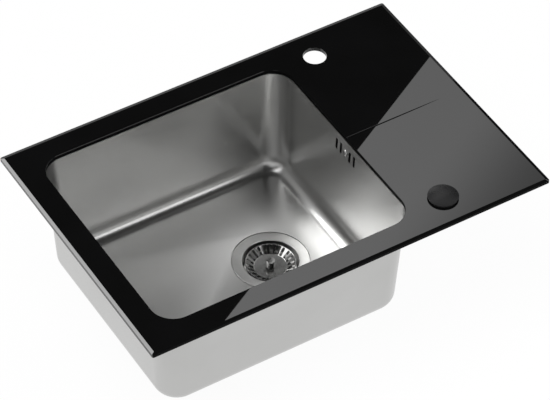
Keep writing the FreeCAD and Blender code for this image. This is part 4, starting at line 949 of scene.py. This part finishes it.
def card(name, corner, along, across, strength, far=None, fall=None):
    """Flat studio card from a corner point and its two sides, in metres: seen only in reflections.
    With far and fall, its light changes evenly along it to far and drops across it to the share fall."""
    corner, along, across = (np.array(v, float) for v in (corner, along, across))
    points = [corner, corner + along, corner + along + across, corner + across]
    mesh = bpy.data.meshes.new(name)
    mesh.from_pydata([tuple(p) for p in points], [], [(0, 1, 2, 3)])
    layer = mesh.uv_layers.new(name="card")
    layer.data.foreach_set("uv", np.array([(0, 0), (1, 0), (1, 1), (0, 1)], float).ravel())
    material = bpy.data.materials.new(name)
    material.use_nodes = True
    tree = material.node_tree
    tree.nodes.remove(tree.nodes["Principled BSDF"])
    glow = tree.nodes.new("ShaderNodeEmission")
    glow.inputs["Strength"].default_value = strength
    tree.links.new(glow.outputs[0], tree.nodes["Material Output"].inputs["Surface"])
    if strength < DIM:
        material.cycles.emission_sampling = "NONE"
    if far is not None:
        place = tree.nodes.new("ShaderNodeUVMap")
        place.uv_map = "card"
        split = tree.nodes.new("ShaderNodeSeparateXYZ")
        tree.links.new(place.outputs["UV"], split.inputs[0])
        light = tree.nodes.new("ShaderNodeMath")
        light.operation = "MULTIPLY"
        changes = (("X", "LINEAR", (0.0, 1.0, strength, far)),
                   ("Y", "SMOOTHSTEP", (FALL_START, FALL_END, 1.0, fall)))
        for index, (axis, kind, values) in enumerate(changes):
            change = tree.nodes.new("ShaderNodeMapRange")
            change.interpolation_type = kind
            for socket, value in zip(("From Min", "From Max", "To Min", "To Max"), values):
                change.inputs[socket].default_value = value
            tree.links.new(split.outputs[axis], change.inputs["Value"])
            tree.links.new(change.outputs["Result"], light.inputs[index])
        tree.links.new(light.outputs[0], glow.inputs["Strength"])
    mesh.materials.append(material)
    piece = bpy.data.objects.new(name, mesh)
    bpy.context.scene.collection.objects.link(piece)
    piece.visible_camera = False
    piece.visible_diffuse = False
    piece.visible_shadow = False
    piece.visible_transmission = False


def lamp(name, place, size, power):
    """Soft square lamp aimed at the origin, for matt shading only."""
    light = bpy.data.lights.new(name, "AREA")
    light.size = size
    light.energy = power
    holder = bpy.data.objects.new(name, light)
    holder.location = place
    holder.rotation_euler = (-Vector(place)).to_track_quat("-Z", "Y").to_euler()
    holder.visible_glossy = False
    holder.visible_camera = False
    bpy.context.scene.collection.objects.link(holder)


def studio():
    """White surroundings, a softbox whose straight edge crosses the deck's reflection, and cards under a
    dark ceiling that the bowl and the bevels mirror."""
    world = bpy.data.worlds.new("studio")
    bpy.context.scene.world = world
    world.use_nodes = True
    tree = world.node_tree
    sky = tree.nodes["Background"]
    path = tree.nodes.new("ShaderNodeLightPath")
    plain = tree.nodes.new("ShaderNodeMapRange")
    plain.inputs["To Min"].default_value = SKY_LIGHT
    plain.inputs["To Max"].default_value = SKY_DIFFUSE_LIGHT
    tree.links.new(path.outputs["Is Diffuse Ray"], plain.inputs["Value"])
    tree.links.new(plain.outputs["Result"], sky.inputs["Strength"])
    sky.inputs["Color"].default_value = (1, 1, 1, 1)
    world.cycles.sampling_method = "NONE"

    card("softbox", EDGE_POINT - SOFTBOX_BEFORE * EDGE_WAY, SOFTBOX_LENGTH * EDGE_WAY,
         SOFTBOX_WIDTH * ACROSS_WAY, SOFTBOX_NEAR, SOFTBOX_FAR, SOFTBOX_FALL)
    for name, corner, (along, across), height, strength in CARDS:
        card(name, (*corner, height), (along, 0, 0), (0, across, 0), strength)
    for details in LAMPS:
        lamp(*details)


def camera():
    """Camera that looks at the target from its azimuth, elevation and distance, turned by its roll."""
    azimuth, elevation, roll = (math.radians(a) for a in (CAMERA_AZIMUTH, CAMERA_ELEVATION, CAMERA_ROLL))
    back = Vector((math.sin(azimuth) * math.cos(elevation), -math.cos(azimuth) * math.cos(elevation),
                   math.sin(elevation)))
    right = (-back).cross(Vector((0, 0, 1))).normalized()
    up = right.cross(-back)
    right, up = (math.cos(roll) * right + math.sin(roll) * up, math.cos(roll) * up - math.sin(roll) * right)
    data = bpy.data.cameras.new("camera")
    data.sensor_width = 36.0
    data.lens = FOCAL_PIXELS * data.sensor_width / FRAME_PIXELS
    data.clip_end = 100.0
    holder = bpy.data.objects.new("camera", data)
    holder.matrix_world = Matrix((right, up, back)).transposed().to_4x4()
    holder.location = CAMERA_TARGET + back * CAMERA_DISTANCE
    bpy.context.scene.collection.objects.link(holder)
    bpy.context.scene.camera = holder


floor()
studio()
camera()
bpy.context.scene.view_settings.view_transform = "Standard"
